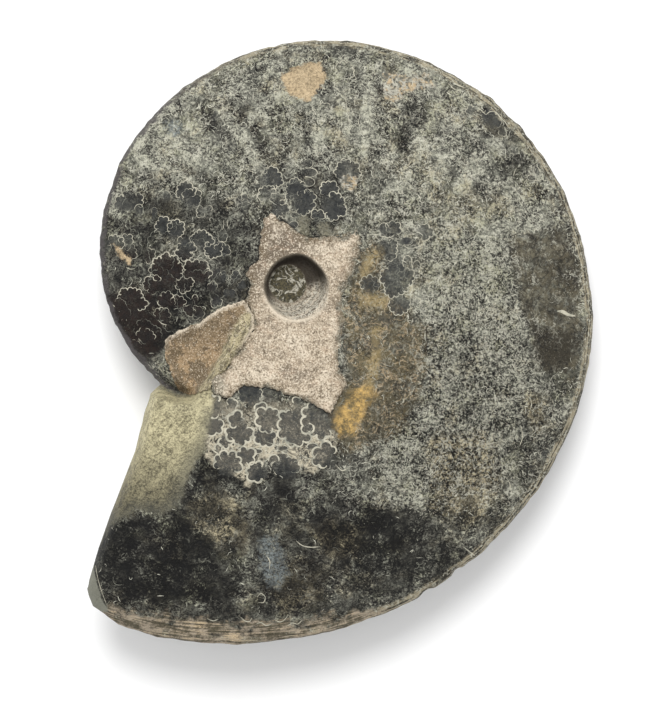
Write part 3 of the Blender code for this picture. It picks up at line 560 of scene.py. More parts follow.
# One suture line, from the umbilicus to the keel: share of the whorl's height, and how far the
# line runs forward there as a share of it. Round saddles lie forward, and narrow lobes back.
SUTURE = [(0.0, 0.02), (0.03, 0.05), (0.06, 0.02), (0.07, -0.04), (0.095, -0.03), (0.105, 0.03),
          (0.10, 0.06), (0.13, 0.09), (0.16, 0.06), (0.15, 0.0), (0.155, -0.06), (0.19, -0.09),
          (0.22, -0.05), (0.225, 0.01), (0.22, 0.07), (0.25, 0.11), (0.28, 0.08), (0.27, 0.01),
          (0.275, -0.07), (0.31, -0.12), (0.35, -0.08), (0.36, 0.0), (0.35, 0.06), (0.36, 0.12),
          (0.405, 0.155), (0.445, 0.13), (0.46, 0.07), (0.44, 0.02), (0.44, -0.06), (0.465, -0.13),
          (0.485, -0.12), (0.505, -0.20), (0.53, -0.13), (0.555, -0.14), (0.57, -0.06), (0.575, 0.01),
          (0.56, 0.06), (0.565, 0.125), (0.61, 0.165), (0.66, 0.15), (0.69, 0.09), (0.665, 0.03),
          (0.66, -0.04), (0.68, -0.11), (0.705, -0.10), (0.725, -0.17), (0.75, -0.10), (0.775, -0.09),
          (0.785, -0.02), (0.77, 0.05), (0.78, 0.11), (0.82, 0.145), (0.87, 0.125), (0.89, 0.07),
          (0.87, 0.01), (0.87, -0.07), (0.90, -0.14), (0.925, -0.10), (0.945, -0.13), (0.955, -0.05),
          (0.965, 0.0), (0.99, 0.0)]
SUTURE_INNER_RADIUS = 4.6 * MM
SUTURE_TURNS = (-2.0, 330.0)
SUTURE_SPACING = 16.5
SUTURE_SEED = 4
SUTURE_UNEVENNESS = (0.008, 0.016)

# Frills of a suture line, broad ones and fine ones on them: step as a share of the whorl's height,
# bulge, and points for each. Where the line lies back between the two calm shares they get flatter.
SUTURE_SCALLOPS = ((0.082, 0.42, 9), (0.031, 0.52, 6))
SUTURE_CALM = (-0.06, 0.08)
SUTURE_SADDLES = (-0.12, 0.07)
SUTURE_WIDTH = 0.75
CALM_SHARE = 0.3
STEP_UNEVENNESS = 0.35
BULGE_RANGE = (0.65, 1.25)


def srgb(red, green, blue):
    """Linear colour of a screen colour from 0 to 255."""
    channels = []
    for value in (red, green, blue):
        share = value / 255.0
        channels.append(share / 12.92 if share <= 0.04045 else ((share + 0.055) / 1.055) ** 2.4)
    return (*channels, 1.0)


def length(name, description, default):
    """A size that a user can change, in metres."""
    return bpy.props.FloatProperty(name=name, description=description, default=default, min=0.0,
                                   precision=5, unit="LENGTH", subtype="DISTANCE")


def colour(name, description, default):
    """A colour that a user can change."""
    return bpy.props.FloatVectorProperty(name=name, description=description, default=default, size=4,
                                         min=0.0, max=1.0, subtype="COLOR")


class FossilSizes(bpy.types.PropertyGroup):
    """Sizes of the relief and of the pieces that are sunk into the stone."""

    rib_height: length("Rib height", "Height of the sickle-shaped ribs", 0.22 * MM)
    lump_height: length("Lump height", "Unevenness of the flanks", 0.3 * MM)
    pit_depth: length("Pit depth", "Depth of the weathered pits", 0.11 * MM)
    edge_wear: length("Edge wear", "How far the outline is chipped in and out", 0.22 * MM)
    line_width: length("Line width", "Width of the suture lines", 0.18 * MM)
    line_height: length("Line height", "How far the suture lines stand proud", 0.07 * MM)
    crust_height: length("Crust height", "How far the sandstone crust stands proud", 0.7 * MM)
    tongue_height: length("Tongue height", "How far the tongue stands proud", 0.8 * MM)
    bowl_radius: length("Bowl radius", "Radius of the umbilicus at its rim", 5.5 * MM)
    bowl_depth: length("Bowl depth", "Depth of the umbilicus", 3.8 * MM)
    disc_radius: length("Disc radius", "Radius of the earliest whorls", 3.1 * MM)
    front_spacing: length("Front spacing", "Distance between mesh points of the front", 0.37 * MM)
    back_spacing: length("Back spacing", "Distance between mesh points of the back", 0.6 * MM)
    crust_spacing: length("Crust spacing", "Distance between mesh points of the crust", 0.17 * MM)
    line_spacing: length("Line spacing", "Distance between mesh points of a line", 0.1 * MM)
    fleck_spacing: length("Fleck spacing", "Distance between mesh points of a fleck", 0.2 * MM)


class FossilColours(bpy.types.PropertyGroup):
    """Colours of the stone, the minerals in it and the stage."""

    black: colour("Black stone", "Darkest stone", srgb(13, 13, 12))
    dark: colour("Dark stone", "Dark grey-green stone", srgb(47, 46, 41))
    grey: colour("Grey stone", "Middle grey-green stone", srgb(86, 86, 78))
    light: colour("Light stone", "Light grey-green stone", srgb(121, 121, 109))
    pale: colour("Pale stone", "Palest grey stone", srgb(169, 168, 151))
    fill_cool: colour("Cool filling", "Blue-black filling of the chambers", srgb(35, 37, 38))
    fill_grey: colour("Grey filling", "Palest cool filling", srgb(59, 60, 57))
    fill_warm: colour("Warm filling", "Brown-black filling of the chambers", srgb(20, 14, 12))
    fill_brown: colour("Brown filling", "Palest warm filling", srgb(36, 25, 19))
    fill_net: colour("Net filling", "Grey filling below the crust", srgb(82, 79, 71))
    fleck: colour("Flecks", "Pale flecks strewn over the stone", srgb(190, 188, 172))
    finger: colour("Fingers", "Light grey stone above the crust", srgb(128, 124, 106))
    streak: colour("Streaks", "Light yellow-brown streaks", srgb(154, 136, 96))
    net: colour("Net", "Pale crystals below the crust", srgb(202, 192, 168))
    earth: colour("Earth", "Brown tint of some stone", srgb(102, 94, 74))
    olive: colour("Olive", "Olive tint of some stone", srgb(120, 118, 88))
    brown: colour("Brown shell", "Smooth brown shell layer", srgb(79, 73, 57))
    brown_dark: colour("Dark shell", "Darkest brown shell", srgb(44, 40, 31))
    cream: colour("Cream lines", "Calcite of the suture lines", srgb(178, 173, 155))
    mud_light: colour("Light mud", "Light greenish sand of the mouth", srgb(202, 193, 156))
    mud_dark: colour("Dark mud", "Dark greenish sand of the mouth", srgb(108, 102, 80))
    ochre: colour("Ochre", "Rusty yellow stain", srgb(204, 168, 102))
    yellow: colour("Yellow", "Faint yellow-brown stain", srgb(94, 84, 60))
    tan: colour("Tan", "Tan sandstone spots", srgb(188, 167, 134))
    tan_dark: colour("Dark tan", "Darkest grains of the tan spots", srgb(138, 121, 94))
    band: colour("Keel band", "Tan stone below the mouth", srgb(162, 149, 130))
    blue: colour("Blue white", "Blue-white bloom", srgb(132, 140, 140))
    keel: colour("Keel", "Light grey-tan shell along the keel", srgb(156, 147, 124))
    keel_dark: colour("Dark keel", "Purple-grey shell along the keel of the whorl before",
                      srgb(74, 70, 70))
    crust: colour("Crust", "Sandstone crust", srgb(168, 154, 134))
    # Also the colour of the painted glints, of the painted highlight on the bowl's lip and of the one
    # along the tongue's upper edge
    pale_sand_and_highlight: colour("Pale sand and highlights", "Palest grains of the crust, also the painted highlights", srgb(214, 202, 182))
    crust_dark: colour("Dark crust", "Darkest grains of the crust", srgb(104, 92, 76))
    crust_grey: colour("Grey crust", "Greyer crust of the north side", srgb(82, 73, 63))
    crust_pink: colour("Pink crust", "Faint orange-pink tint of the crust", srgb(162, 136, 112))
    bowl: colour("Bowl", "Whitish walls of the bowl", srgb(186, 182, 168))
    # Colour of the painted shade on the bowl's steep north side, and of dark specks in the bowl
    wall: colour("Bowl shade and specks", "Painted shade on the steep north side of the bowl, and dark specks in it", srgb(46, 40, 33))
    tongue: colour("Tongue", "Olive-brown tongue", srgb(106, 91, 69))
    tongue_light: colour("Light tongue", "Palest parts of the tongue", srgb(158, 134, 102))
    tongue_dark: colour("Dark tongue", "Darkest grains of the tongue", srgb(78, 66, 50))
    strip: colour("Strip", "Greenish-cream strip beside the tongue", srgb(164, 154, 122))
    disc: colour("Disc", "Greenish-brown earliest whorls", srgb(88, 82, 62))
    floor: colour("Floor", "Plain pale floor", (0.9, 0.9, 0.9, 1.0))


def metres(points):
    """Turn a list of points in millimetres into an array in metres."""
    return np.array(points) * MM


def smooth(low, high, value):
    """Rise smoothly from 0 at low to 1 at high."""
    share = np.clip((value - low) / (high - low), 0.0, 1.0)
    return share * share * (3.0 - 2.0 * share)


def band(stops, value):
    """Rise smoothly from 0 to 1 over the first two of four stops, and fall over the last two."""
    return smooth(stops[0], stops[1], value) * (1.0 - smooth(stops[2], stops[3], value))


def unit(degrees):
    """Unit vector at an angle in degrees."""
    angle = math.radians(degrees)
    return np.array([math.cos(angle), math.sin(angle)])


def rays(angles):
    """Unit vectors at angles in radians."""
    return np.column_stack([np.cos(angles), np.sin(angles)])


def lengths(vectors):
    """Length of each vector."""
    return np.hypot(vectors[:, 0], vectors[:, 1])


def to_right(vectors):
    """Each vector turned a quarter turn clockwise."""
    return np.column_stack([vectors[:, 1], -vectors[:, 0]])


def outward(loop):
    """Unit vectors that point to the right of a closed loop as it is drawn."""
    along = np.roll(loop, -1, axis=0) - np.roll(loop, 1, axis=0)
    return to_right(along / lengths(along)[:, None])


def polar(points, centre):
    """Radius and angle in degrees of each point about a centre."""
    offset = points - np.array(centre)
    return lengths(offset), np.degrees(np.arctan2(offset[:, 1], offset[:, 0]))


def line_distance(points, line):
    """Distance from each point to a line, less than 0 to the left of it as it is drawn."""
    nearest = np.full(len(points), np.inf)
    side = np.ones(len(points))
    for start, end in zip(line[:-1], line[1:]):
        along = end - start
        share = np.clip((points - start) @ along / (along @ along), 0.0, 1.0)
        gap = points - start - share[:, None] * along
        distance = lengths(gap)
        offset = points - start
        cross = along[0] * offset[:, 1] - along[1] * offset[:, 0]
        closer = distance < nearest
        nearest = np.where(closer, distance, nearest)
        side = np.where(closer, np.where(cross > 0.0, -1.0, 1.0), side)
    return nearest * side


def inside_distance(points, loop):
    """Distance from each point to a closed loop, more than 0 inside it."""
    closed = np.vstack([loop, loop[:1]])
    distance = np.abs(line_distance(points, closed))
    inside = np.zeros(len(points), dtype=bool)
    for start, end in zip(closed[:-1], closed[1:]):
        spans = (start[1] > points[:, 1]) != (end[1] > points[:, 1])
        rise = end[1] - start[1]
        if rise == 0.0:
            continue
        crossing = start[0] + (points[:, 1] - start[1]) * (end[0] - start[0]) / rise
        inside ^= spans & (points[:, 0] < crossing)
    return np.where(inside, distance, -distance)


def inside_share(points, outline, fade, wander=0.0):
    """1 inside an outline and 0 outside, fading that many millimetres to either side of its edge."""
    return smooth(-fade * MM, fade * MM, inside_distance(points, metres(outline)) + wander)


def nearest_edge(points, outlines):
    """Distance in millimetres to the nearest of several outlines, more than 0 inside one."""
    return np.max([inside_distance(points, metres(outline)) for outline in outlines], axis=0) / MM


def strongest(points, zones, base):
    """The highest value of the zones at each point, or the base outside them."""
    result = np.full(len(points), base)
    for outline, fade, value in zones:
        result = np.maximum(result, value * inside_share(points, outline, fade))
    return result


def soft_noise(points, size, layer, octaves=1):
    """Smooth noise between about -1 and 1 over the plan, with lumps of that size."""
    places = [Vector((x / size, y / size, layer)) for x, y in points]
    if octaves == 1:
        return np.array([noise.noise(place) for place in places]) * NOISE_GAIN
    return np.array([noise.fractal(place, FRACTAL_FALL, FRACTAL_STEP, octaves)
                     for place in places]) * FRACTAL_GAIN


def venter_radius(turn):
    """Radius of the keel after that many degrees of the last whorl."""
    angle = np.radians(SEAM_ANGLE - turn)
    oval = OVAL_COS[0] * np.cos(angle) + OVAL_SIN[0] * np.sin(angle)
    oval += OVAL_COS[1] * np.cos(2.0 * angle) + OVAL_SIN[1] * np.sin(2.0 * angle)
    return SEAM_RADIUS * WHORL_EXPANSION ** (turn / 360.0) * np.exp(oval)


def rib_wave(share, turn):
    """Height of the ribs as a share of a full rib, at a share of the whorl's height."""
    swing = RIB_SWING * np.cos(math.pi * (share - RIB_BEND) / RIB_BEND)
    rib = np.sin(np.radians((turn - swing) * RIBS_PER_TURN))
    sharpness = WORN_RIB_SHARE + (1.0 - WORN_RIB_SHARE) * band(RIB_TURNS, turn)
    return rib * band(RIB_REACH, share) * sharpness


def whorl_height(radius, turn, even, rib_height):
    """Half thickness of a whorl at that radius, with its lens section, ribs and keel."""
    growth = np.minimum(turn, THICKENING_TURN) / THICKENING_TURN
    half = HALF_THICKNESS_START * (HALF_THICKNESS_END / HALF_THICKNESS_START) ** growth
    share_even = (1.0 - smooth(NAVEL_EVEN_REACH[0], NAVEL_EVEN_REACH[1], radius)) * even
    half = half + (NAVEL_HALF_THICKNESS - half) * share_even
    venter = venter_radius(turn)
    share = np.clip((radius - UMBILICAL_RADIUS) / (venter - UMBILICAL_RADIUS), 0.0, 1.0)
    outer = np.clip((share - SHOULDER_SHARE) / (1.0 - SHOULDER_SHARE), 0.0, 1.0)
    inner = np.clip(1.0 - share / SHOULDER_SHARE, 0.0, 1.0)
    lens = half * (1.0 - outer ** LENS_POWER - SHOULDER_FALL * inner ** 2)
    edge = np.clip((venter - radius) / KEEL_HEIGHT, 0.0, 1.0)
    keel = KEEL_HALF_WIDTH * np.sqrt(1.0 - (1.0 - edge) ** 2)
    return lens + rib_wave(share, turn) * rib_height + keel, venter - radius


def whorl_turns(points):
    """Radius of each point, its turn on the last whorl, and the turns before and after the seam."""
    radius, angle = polar(points, UMBILICUS)
    turn = np.mod(SEAM_ANGLE - angle, 360.0)
    before = np.where(turn > 360.0 - STEP_SPREAD, turn - 360.0, turn)
    after = np.where(turn < STEP_SPREAD, turn + 360.0, turn)
    return radius, before, after


def flank_height(points, even, rib_height):
    """Half thickness of the whole coil, stepped at the seam and rounded at the broken mouth."""
    radius, before, after = whorl_turns(points)
    old, old_edge = whorl_height(radius, before, even, rib_height)
    new, _ = whorl_height(radius, after, even, rib_height)
    past_step = line_distance(points, metres(STEP))
    ramp = smooth(-STEP_RAMP, 0.0, past_step) * smooth(0.0, 3.0 * MM, old_edge)
    rise = smooth(STEP_RISE[0], STEP_RISE[1], past_step)
    blend = STEP_RAMP_SHARE * np.maximum(ramp, rise) + (1.0 - STEP_RAMP_SHARE) * rise
    height = np.maximum(old, 0.0) * (1.0 - blend) + new * blend
    to_mouth = np.abs(line_distance(points, metres(MOUTH)))
    rounding = np.sqrt(1.0 - (1.0 - np.clip(to_mouth / MOUTH_ROUNDING, 0.0, 1.0)) ** 2)
    return height * np.where(past_step > 0.0, rounding, 1.0)


def bowl_places(points):
    """Radius and angle about the middle of the bowl, and radius about its disc, both a little uneven."""
    radius, angle = polar(points, BOWL_CENTRE)
    disc, _ = polar(points, DISC_CENTRE)
    wobble = soft_noise(points, BOWL_WOBBLE_SIZE, 90.0)
    return radius + BOWL_WOBBLE * wobble, angle, disc + DISC_WOBBLE * wobble


def bowl_depth(points, sizes):
    """Depth of the umbilicus below its rim, steep to the north and gentle with ledges to the south."""
    radius, angle, disc = bowl_places(points)
    from_rim = np.maximum(sizes.bowl_radius - radius, 0.0)
    from_disc = np.maximum(disc - sizes.disc_radius, 0.0)
    wall = from_rim / (from_rim + from_disc + 0.01 * MM)
    north = 0.5 + 0.5 * np.cos(np.radians(angle - BOWL_STEEP_ANGLE))
    steep = 1.0 + (BOWL_STEEPNESS - 1.0) * north
    depth = sizes.bowl_depth * smooth(0.0, 1.0, wall * steep) * smooth(0.0, 0.3 * MM, from_rim)
    ledge = np.sin(from_disc / LEDGE_STEP * 2.0 * math.pi) * smooth(0.0, 0.5 * MM, from_rim)
    depth = depth + LEDGE_HEIGHT * ledge * (1.0 - north) * smooth(0.1 * MM, 0.5 * MM, from_disc)
    in_disc = smooth(-0.2 * MM, 0.3 * MM, sizes.disc_radius - disc)
    dome = DISC_DOME * np.clip(1.0 - (disc / sizes.disc_radius) ** 2, 0.0, 1.0)
    return depth + in_disc * (DISC_STEP - dome)


def middle_height(points):
    """Height of the coil's leaning middle plane."""
    return MIDDLE_HEIGHT + LEAN_SLOPE * ((points - np.array(UMBILICUS)) @ unit(LEAN_ANGLE))


def coarseness(points):
    """How deeply the stone is pitted, from 0 where the shell is smooth to 1."""
    coarse = inside_share(points, COARSE, 3.0)
    mud = inside_share(points, MUD, 0.4)
    smooth_shell = smooth(-1.0, 1.5, nearest_edge(points, [BROWN]))
    coarseness_here = BASE_COARSENESS + (1.0 - BASE_COARSENESS) * coarse + 0.3 * mud - 0.3 * smooth_shell
    return np.clip(coarseness_here, 0.0, 1.0)


def pits(points, sizes, layer):
    """Height of the weathered surface, from broad dents down to grains."""
    depth = sizes.pit_depth * coarseness(points)
    dents = soft_noise(points, DENT_SIZE, layer, 3) * 0.9
    worms = 1.0 - 2.0 * np.abs(soft_noise(points, WORM_SIZE, layer + 3.1, 2))
    grains = soft_noise(points, GRAIN_SIZE, layer + 7.7)
    return sizes.pit_depth * 0.9 * dents + depth * (0.55 * worms + 0.45 * grains)


def lumpy_flank(points, even, lump_places, sizes):
    """Half thickness of the coil with its ribs, and with the lumps that are at those places."""
    height = flank_height(points, even, sizes.rib_height)
    fade = smooth(0.0, LUMP_FADE, height)
    return height + sizes.lump_height * soft_noise(lump_places, LUMP_SIZE, 0.0) * fade


def bare_surface(points, sizes):
    """Height of the upper side without its fine pits, as a bed for what lies on it."""
    height = lumpy_flank(points, 1.0, points, sizes)
    return middle_height(points) + height - bowl_depth(points, sizes)


def stone_surface(points, sizes):
    """Height of the dark stone's upper side, sunk a little where the crust covers it."""
    height = lumpy_flank(points, 1.0, points, sizes)
    height = height + pits(points, sizes, 2.0) * smooth(0.0, PIT_FADE, height)
    covered = COVERED_SINK * smooth(0.6 * MM, 1.6 * MM, inside_distance(points, metres(CRUST)))
    radius, _ = polar(points, BOWL_CENTRE)
    under_bowl = BOWL_SINK * smooth(1.3 * MM, 0.5 * MM, radius - sizes.bowl_radius)
    return middle_height(points) + height - bowl_depth(points, sizes) - covered - under_bowl


def stone_underside(points, sizes):
    """Height of the flank that the stone lies on, level with the ground where it rests."""
    height = lumpy_flank(points, 0.0, -points, sizes)
    height = height + pits(points, sizes, 12.0) * smooth(0.0, PIT_FADE, height)
    radius, _ = polar(points, UMBILICUS)
    hollow = 1.0 - smooth(0.6 * BACK_BOWL_RADIUS, BACK_BOWL_RADIUS, radius)
    free = middle_height(points) - height + BACK_BOWL_DEPTH * hollow
    offset = (points - np.array(REST_CENTRE)) / (0.5 * np.array(REST_SIZE))
    return np.maximum(free, 0.0) * smooth(1.0, REST_BLEND, lengths(offset))


def divide(line, step):
    """Points along a line of straight runs, about one step apart, without its last point."""
    result = []
    for start, end in zip(line[:-1], line[1:]):
        count = max(1, round(math.dist(start, end) / step))
        result += [start + (end - start) * i / count for i in range(count)]
    return np.array(result)


def rim_loop(step):
    """Outline of the shell: the keel clockwise from the seam, then the broken mouth."""
    turns = [0.0]
    while turns[-1] < WHORL_TURN - math.degrees(step / SEAM_RADIUS):
        turns.append(turns[-1] + math.degrees(step / venter_radius(turns[-1])))
    turns = np.array(turns[:-1])
    angle = np.radians(SEAM_ANGLE - turns)
    keel = rays(angle) * venter_radius(turns)[:, None]
    mouth = divide(metres(MOUTH[::-1]), step)
    return np.vstack([keel + np.array(UMBILICUS), mouth])


def row_inside(loop, depth, outline):
    """Points one row in from the outline, left out where the outline bends sharply."""
    row = loop + depth * outward(loop)
    return row[inside_distance(row, outline) > 0.8 * depth]


def hexagonal(spacing, low, high):
    """Points of a triangular grid over a rectangle."""
    rows = int((high[1] - low[1]) / (spacing * math.sqrt(0.75))) + 1
    columns = int((high[0] - low[0]) / spacing) + 1
    x, y = np.meshgrid(np.arange(columns, dtype=float), np.arange(rows, dtype=float))
    x = x + 0.5 * np.mod(y, 2.0)
    grid = np.column_stack([x.ravel() * spacing, y.ravel() * spacing * math.sqrt(0.75)])
    return grid + np.array(low)


def grid_inside(outline, spacing, margin):
    """Points of a slightly uneven triangular grid inside an outline."""
    grid = hexagonal(spacing, outline.min(axis=0), outline.max(axis=0))
    rng = np.random.default_rng(GRID_SEED)
    grid = grid + rng.uniform(-GRID_JITTER, GRID_JITTER, grid.shape) * spacing
    return grid[inside_distance(grid, outline) > margin]


def triangles(loop, inner):
    """Triangles over the outline and its inner points, each facing up."""
    corners = [Vector(point) for point in np.vstack([loop, inner])]
    edges = [(i, (i + 1) % len(loop)) for i in range(len(loop))]
    found = delaunay_2d_cdt(corners, edges, [], 1, MERGE_DISTANCE)
    source = [origins[0] for origins in found[3]]
    faces = []
    for face in found[2]:
        a, b, c = (source[i] for i in face)
        first = corners[b] - corners[a]
        second = corners[c] - corners[a]
        faces.append((a, b, c) if first.x * second.y > first.y * second.x else (a, c, b))
    return faces


def worn_edge(points, outline, sizes):
    """Shift points near the outline in and out, so that the silhouette is worn and chipped."""
    _, angle = polar(points, UMBILICUS)
    rim = rays(np.radians(angle))
    along = rim * WEAR_RADIUS
    wear = 0.9 * soft_noise(along, 4.5 * MM, 5.0) + 0.6 * soft_noise(along, 1.3 * MM, 6.0, 2)
    shift = sizes.edge_wear * wear
    for x, y, reach, depth in CHIPS:
        away, _ = polar(points, (x * MM, y * MM))
        shift = shift + depth * MM * (1.0 - smooth(0.3 * reach * MM, reach * MM, away))
    near = 1.0 - smooth(0.0, WEAR_REACH, inside_distance(points, outline))
    return points - rim * (shift * near)[:, None]


def smooth_curve(corners, count):
    """A curve through the corners, with that many points from each to the next."""
    corners = np.array(corners, dtype=float)
    ends = np.vstack([2.0 * corners[0] - corners[1], corners, 2.0 * corners[-1] - corners[-2]])
    share = np.linspace(0.0, 1.0, count, endpoint=False)[:, None]
    runs = []
    for i in range(1, len(ends) - 2):
        a, b, c, d = ends[i - 1:i + 3]
        bend = (2.0 * a - 5.0 * b + 4.0 * c - d) * share ** 2 + (3.0 * b - a - 3.0 * c + d) * share ** 3
        runs.append(0.5 * (2.0 * b + (c - a) * share + bend))
    runs.append(corners[-1:])
    return np.vstack(runs)


def even_steps(line, step, rng=None, vary=0.0):
    """Points along a line, about one step apart, each step made longer or shorter at random."""
    runs = lengths(np.diff(line[:, :2], axis=0))
    reach = np.concatenate([[0.0], np.cumsum(runs)])
    count = max(2, int(reach[-1] / step))
    steps = np.ones(count) if rng is None else 1.0 + vary * rng.uniform(-1.0, 1.0, count)
    marks = np.concatenate([[0.0], np.cumsum(steps)]) / steps.sum() * reach[-1]
    return np.column_stack([np.interp(marks, reach, column) for column in line.T])


def scallops(line, step, bulge, rng, count, calm=None):
    """Frill a line: each step along it becomes an arc that bulges to the left.

    Where the line lies back of the two calm heights the arcs are flatter, so that lobes stay open.
    """
    corners = even_steps(line, step, rng, STEP_UNEVENNESS)
    points = []
    for start, end in zip(corners[:-1], corners[1:]):
        along = end - start
        span = math.hypot(*along)
        left = np.array([-along[1], along[0]]) / span
        room = 1.0 if calm is None else float(smooth(calm[0], calm[1], 0.5 * (start[1] + end[1])))
        depth = bulge * rng.uniform(*BULGE_RANGE) * (CALM_SHARE + (1.0 - CALM_SHARE) * room)
        half_turn = 2.0 * math.atan(2.0 * depth)
        radius = 0.5 * span / math.sin(half_turn)
        centre = 0.5 * (start + end) - left * radius * math.cos(half_turn)
        for i in range(count):
            turn = half_turn * (2.0 * i / count - 1.0)
            points.append(centre + radius * (math.sin(turn) * along / span + math.cos(turn) * left))
    points.append(corners[-1])
    return np.array(points)


def suture_line(turn, rng):
    """One frilled suture line of the last whorl: x, y, and 1 on its saddles or 0 in its lobes."""
    height = venter_radius(turn) - SUTURE_INNER_RADIUS
    corners = np.array(SUTURE) + rng.uniform(-1.0, 1.0, (len(SUTURE), 2)) * SUTURE_UNEVENNESS
    lobes = smooth_curve(corners, 8) * height
    calm = (SUTURE_CALM[0] * height, SUTURE_CALM[1] * height)
    for step, bulge, count in SUTURE_SCALLOPS:
        lobes = scallops(lobes, step * height, bulge, rng, count, calm)
    ahead = turn + np.degrees(lobes[:, 1] / (SUTURE_INNER_RADIUS + lobes[:, 0]))
    share = lobes[:, 0] / height
    radius = SUTURE_INNER_RADIUS + share * (venter_radius(ahead) - SUTURE_INNER_RADIUS)
    angle = np.radians(SEAM_ANGLE - ahead)
    plan = np.array(UMBILICUS) + radius[:, None] * rays(angle)
    return np.column_stack([plan, smooth(*SUTURE_SADDLES, lobes[:, 1] / height)])


def drawn(line, strength, width):
    """A line with its strength and width at each point."""
    count = len(line)
    return np.column_stack([line, np.full(count, strength), np.full(count, width)])


def taper(count, loss, power):
    """1 in the middle of a line, and less by that much at its two ends."""
    return 1.0 - loss * np.abs(np.linspace(-1.0, 1.0, count)) ** power


def suture_lines(sizes):
    """The faint suture lines of the last whorl: x, y, strength and width at each point."""
    rng = np.random.default_rng(SUTURE_SEED)
    lines = []
    for turn in np.arange(SUTURE_TURNS[0], SUTURE_TURNS[1], SUTURE_SPACING):
        line = suture_line(turn, rng)
        strength = line_strength(line[:, :2]) * (0.45 + 0.55 * line[:, 2])
        lines.append(drawn(line[:, :2], strength, SUTURE_WIDTH * sizes.line_width))
    return lines


def leaf_crown(leaf, teeth, rng):
    """The crown of one leaf, from its left foot over its tip to its right foot."""
    x, y, aim, width, reach, count = leaf[:6]
    ahead = unit(aim)
    left = np.array([-ahead[1], ahead[0]])
    turns = np.radians(np.linspace(LEAF_OPENING, -LEAF_OPENING, 40))
    crown = 0.5 * (np.outer(reach * np.cos(turns), ahead) + np.outer(width * np.sin(turns), left))
    if count > 1:
        crown = crown * LEAF_SHRINK
        around = lengths(np.diff(crown, axis=0)).sum()
        crown = scallops(crown, around / (count + 0.01), LEAF_BULGE, rng, 9)
        crown = scallops(crown, teeth, LEAF_BULGE, rng, 8)
    return (crown + np.array([x, y])) * MM


def leaf_crowns():
    """Every leaf that stands out, with its crown."""
    rng = np.random.default_rng(SUTURE_SEED)
    plain = LEAVES_LEFT + LEAVES_TOP + LEAVES_RIGHT
    crowns = [(leaf, leaf_crown(leaf, LEAF_TEETH, rng)) for leaf in plain]
    return crowns + [(leaf, leaf_crown(leaf, LEAF_NET_TEETH, rng)) for leaf in LEAVES_NET]


def leaf_lines(sizes):
    """The lines round the leaves: x, y, strength and width at each point."""
    lines = []
    for leaf, crown in leaf_crowns():
        _, _, _, across, _, _, _, clear = leaf
        width = sizes.line_width * (0.5 + 0.6 * clear) * min(1.0, 0.6 + 0.15 * across)
        if leaf in LEAVES_NET:
            width = width * NET_LINE_WIDENING
        lines.append(drawn(crown, clear * taper(len(crown), 0.55, 3), width))
    return lines


def stroke_lines():
    """The loose cream lines and flakes: x, y, strength and width at each point."""
    lines = []
    for width, corners in STROKES:
        line = smooth_curve(metres(corners), 6)
        lines.append(drawn(line, STROKE_STRENGTH, width * MM * taper(len(line), 0.7, 3)))
    return lines


def fleck_share(points):
    """How many flecks there are, from 0 to 1."""
    clumps = smooth(-0.3, 0.5, soft_noise(points, 2.6 * MM, 80.0, 2))
    light = smooth(0.28, 0.6, lightness(points))
    bare = [BROWN, BROWN_LOW, OCHRE, TAN_BAND, NET_GROUND]
    bare_share = smooth(-0.8, 0.8, nearest_edge(points, bare))
    share = 0.04 + (0.8 * clumps + 0.2 * coarseness(points)) * light
    calm = 1.0 - 0.6 * calmness(points)
    return np.clip(share, 0.0, 1.0) * (1.0 - 0.9 * bare_share) * calm


def fleck_lines(outline):
    """Short curled flecks strewn over the stone: x, y, strength and width at each point."""
    rng = np.random.default_rng(FLECK_SEED)
    low, high = outline.min(axis=0), outline.max(axis=0)
    places = rng.uniform(low, high, (FLECK_TRIES, 2))
    inside = inside_distance(places, outline) > 0.8 * MM
    leaf_depth, leaf_fill = leaf_marks(places)
    in_leaf = (leaf_depth > 0.0) & (leaf_fill > 0.4)
    chosen = inside & ~in_leaf & (rng.uniform(size=len(places)) < fleck_share(places))
    places = places[chosen]
    count = len(places)
    heading = rng.uniform(0.0, 2.0 * math.pi, count)
    bend = rng.normal(0.0, FLECK_BEND, count)
    step = rng.uniform(*FLECK_LENGTH, count) / FLECK_POINTS
    width = rng.uniform(*FLECK_WIDTH, count)
    runs = [places]
    for _ in range(FLECK_POINTS):
        runs.append(runs[-1] + rays(heading) * (step * MM)[:, None])
        heading = heading + bend * step + rng.normal(0.0, FLECK_SHAKE, count)
    narrowing = taper(FLECK_POINTS + 1, 0.8, 2)
    lines = []
    for i in range(count):
        line = np.array([run[i] for run in runs])
        lines.append(drawn(line, FLECK_STRENGTH, width[i] * MM * narrowing))
    return lines


def line_strength(points):
    """How clearly the suture lines show, from 0 to 1."""
    return strongest(points, LINE_ZONES, FAINT_LINES)


def leaf_marks(points):
    """Distance in millimetres into the nearest leaf, and how dark that leaf is filled."""
    depth = np.full(len(points), FAR_OUTSIDE)
    fill = np.zeros(len(points))
    for leaf, crown in leaf_crowns():
        x, y, aim, width, reach, _, dark, _ = leaf
        ahead = unit(aim)
        offset = points / MM - np.array([x, y])
        near = np.flatnonzero(lengths(offset) < max(width, reach) + 0.8)
        tail = 0.4 * reach * MM * ahead
        loop = np.vstack([crown, crown[-1] - tail, crown[0] - tail])
        inside = inside_distance(points[near], loop) / MM
        along = offset[near] @ ahead / reach
        deeper = inside > depth[near]
        depth[near] = np.where(deeper, inside, depth[near])
        here = dark * smooth(-0.95, -0.2, along)
        fill[near] = np.where(deeper, here, fill[near])
    return depth, fill


def lightness(points):
    """How light the stone is, from 0 to 1."""
    wander = TONE_WANDER * soft_noise(points, TONE_WANDER_SIZE, 21.0, 3)
    tone = np.full(len(points), BASE_LIGHTNESS)
    for outline, fade, value in TONE_ZONES:
        tone = tone + (value - tone) * inside_share(points, outline, fade, wander)
    return tone


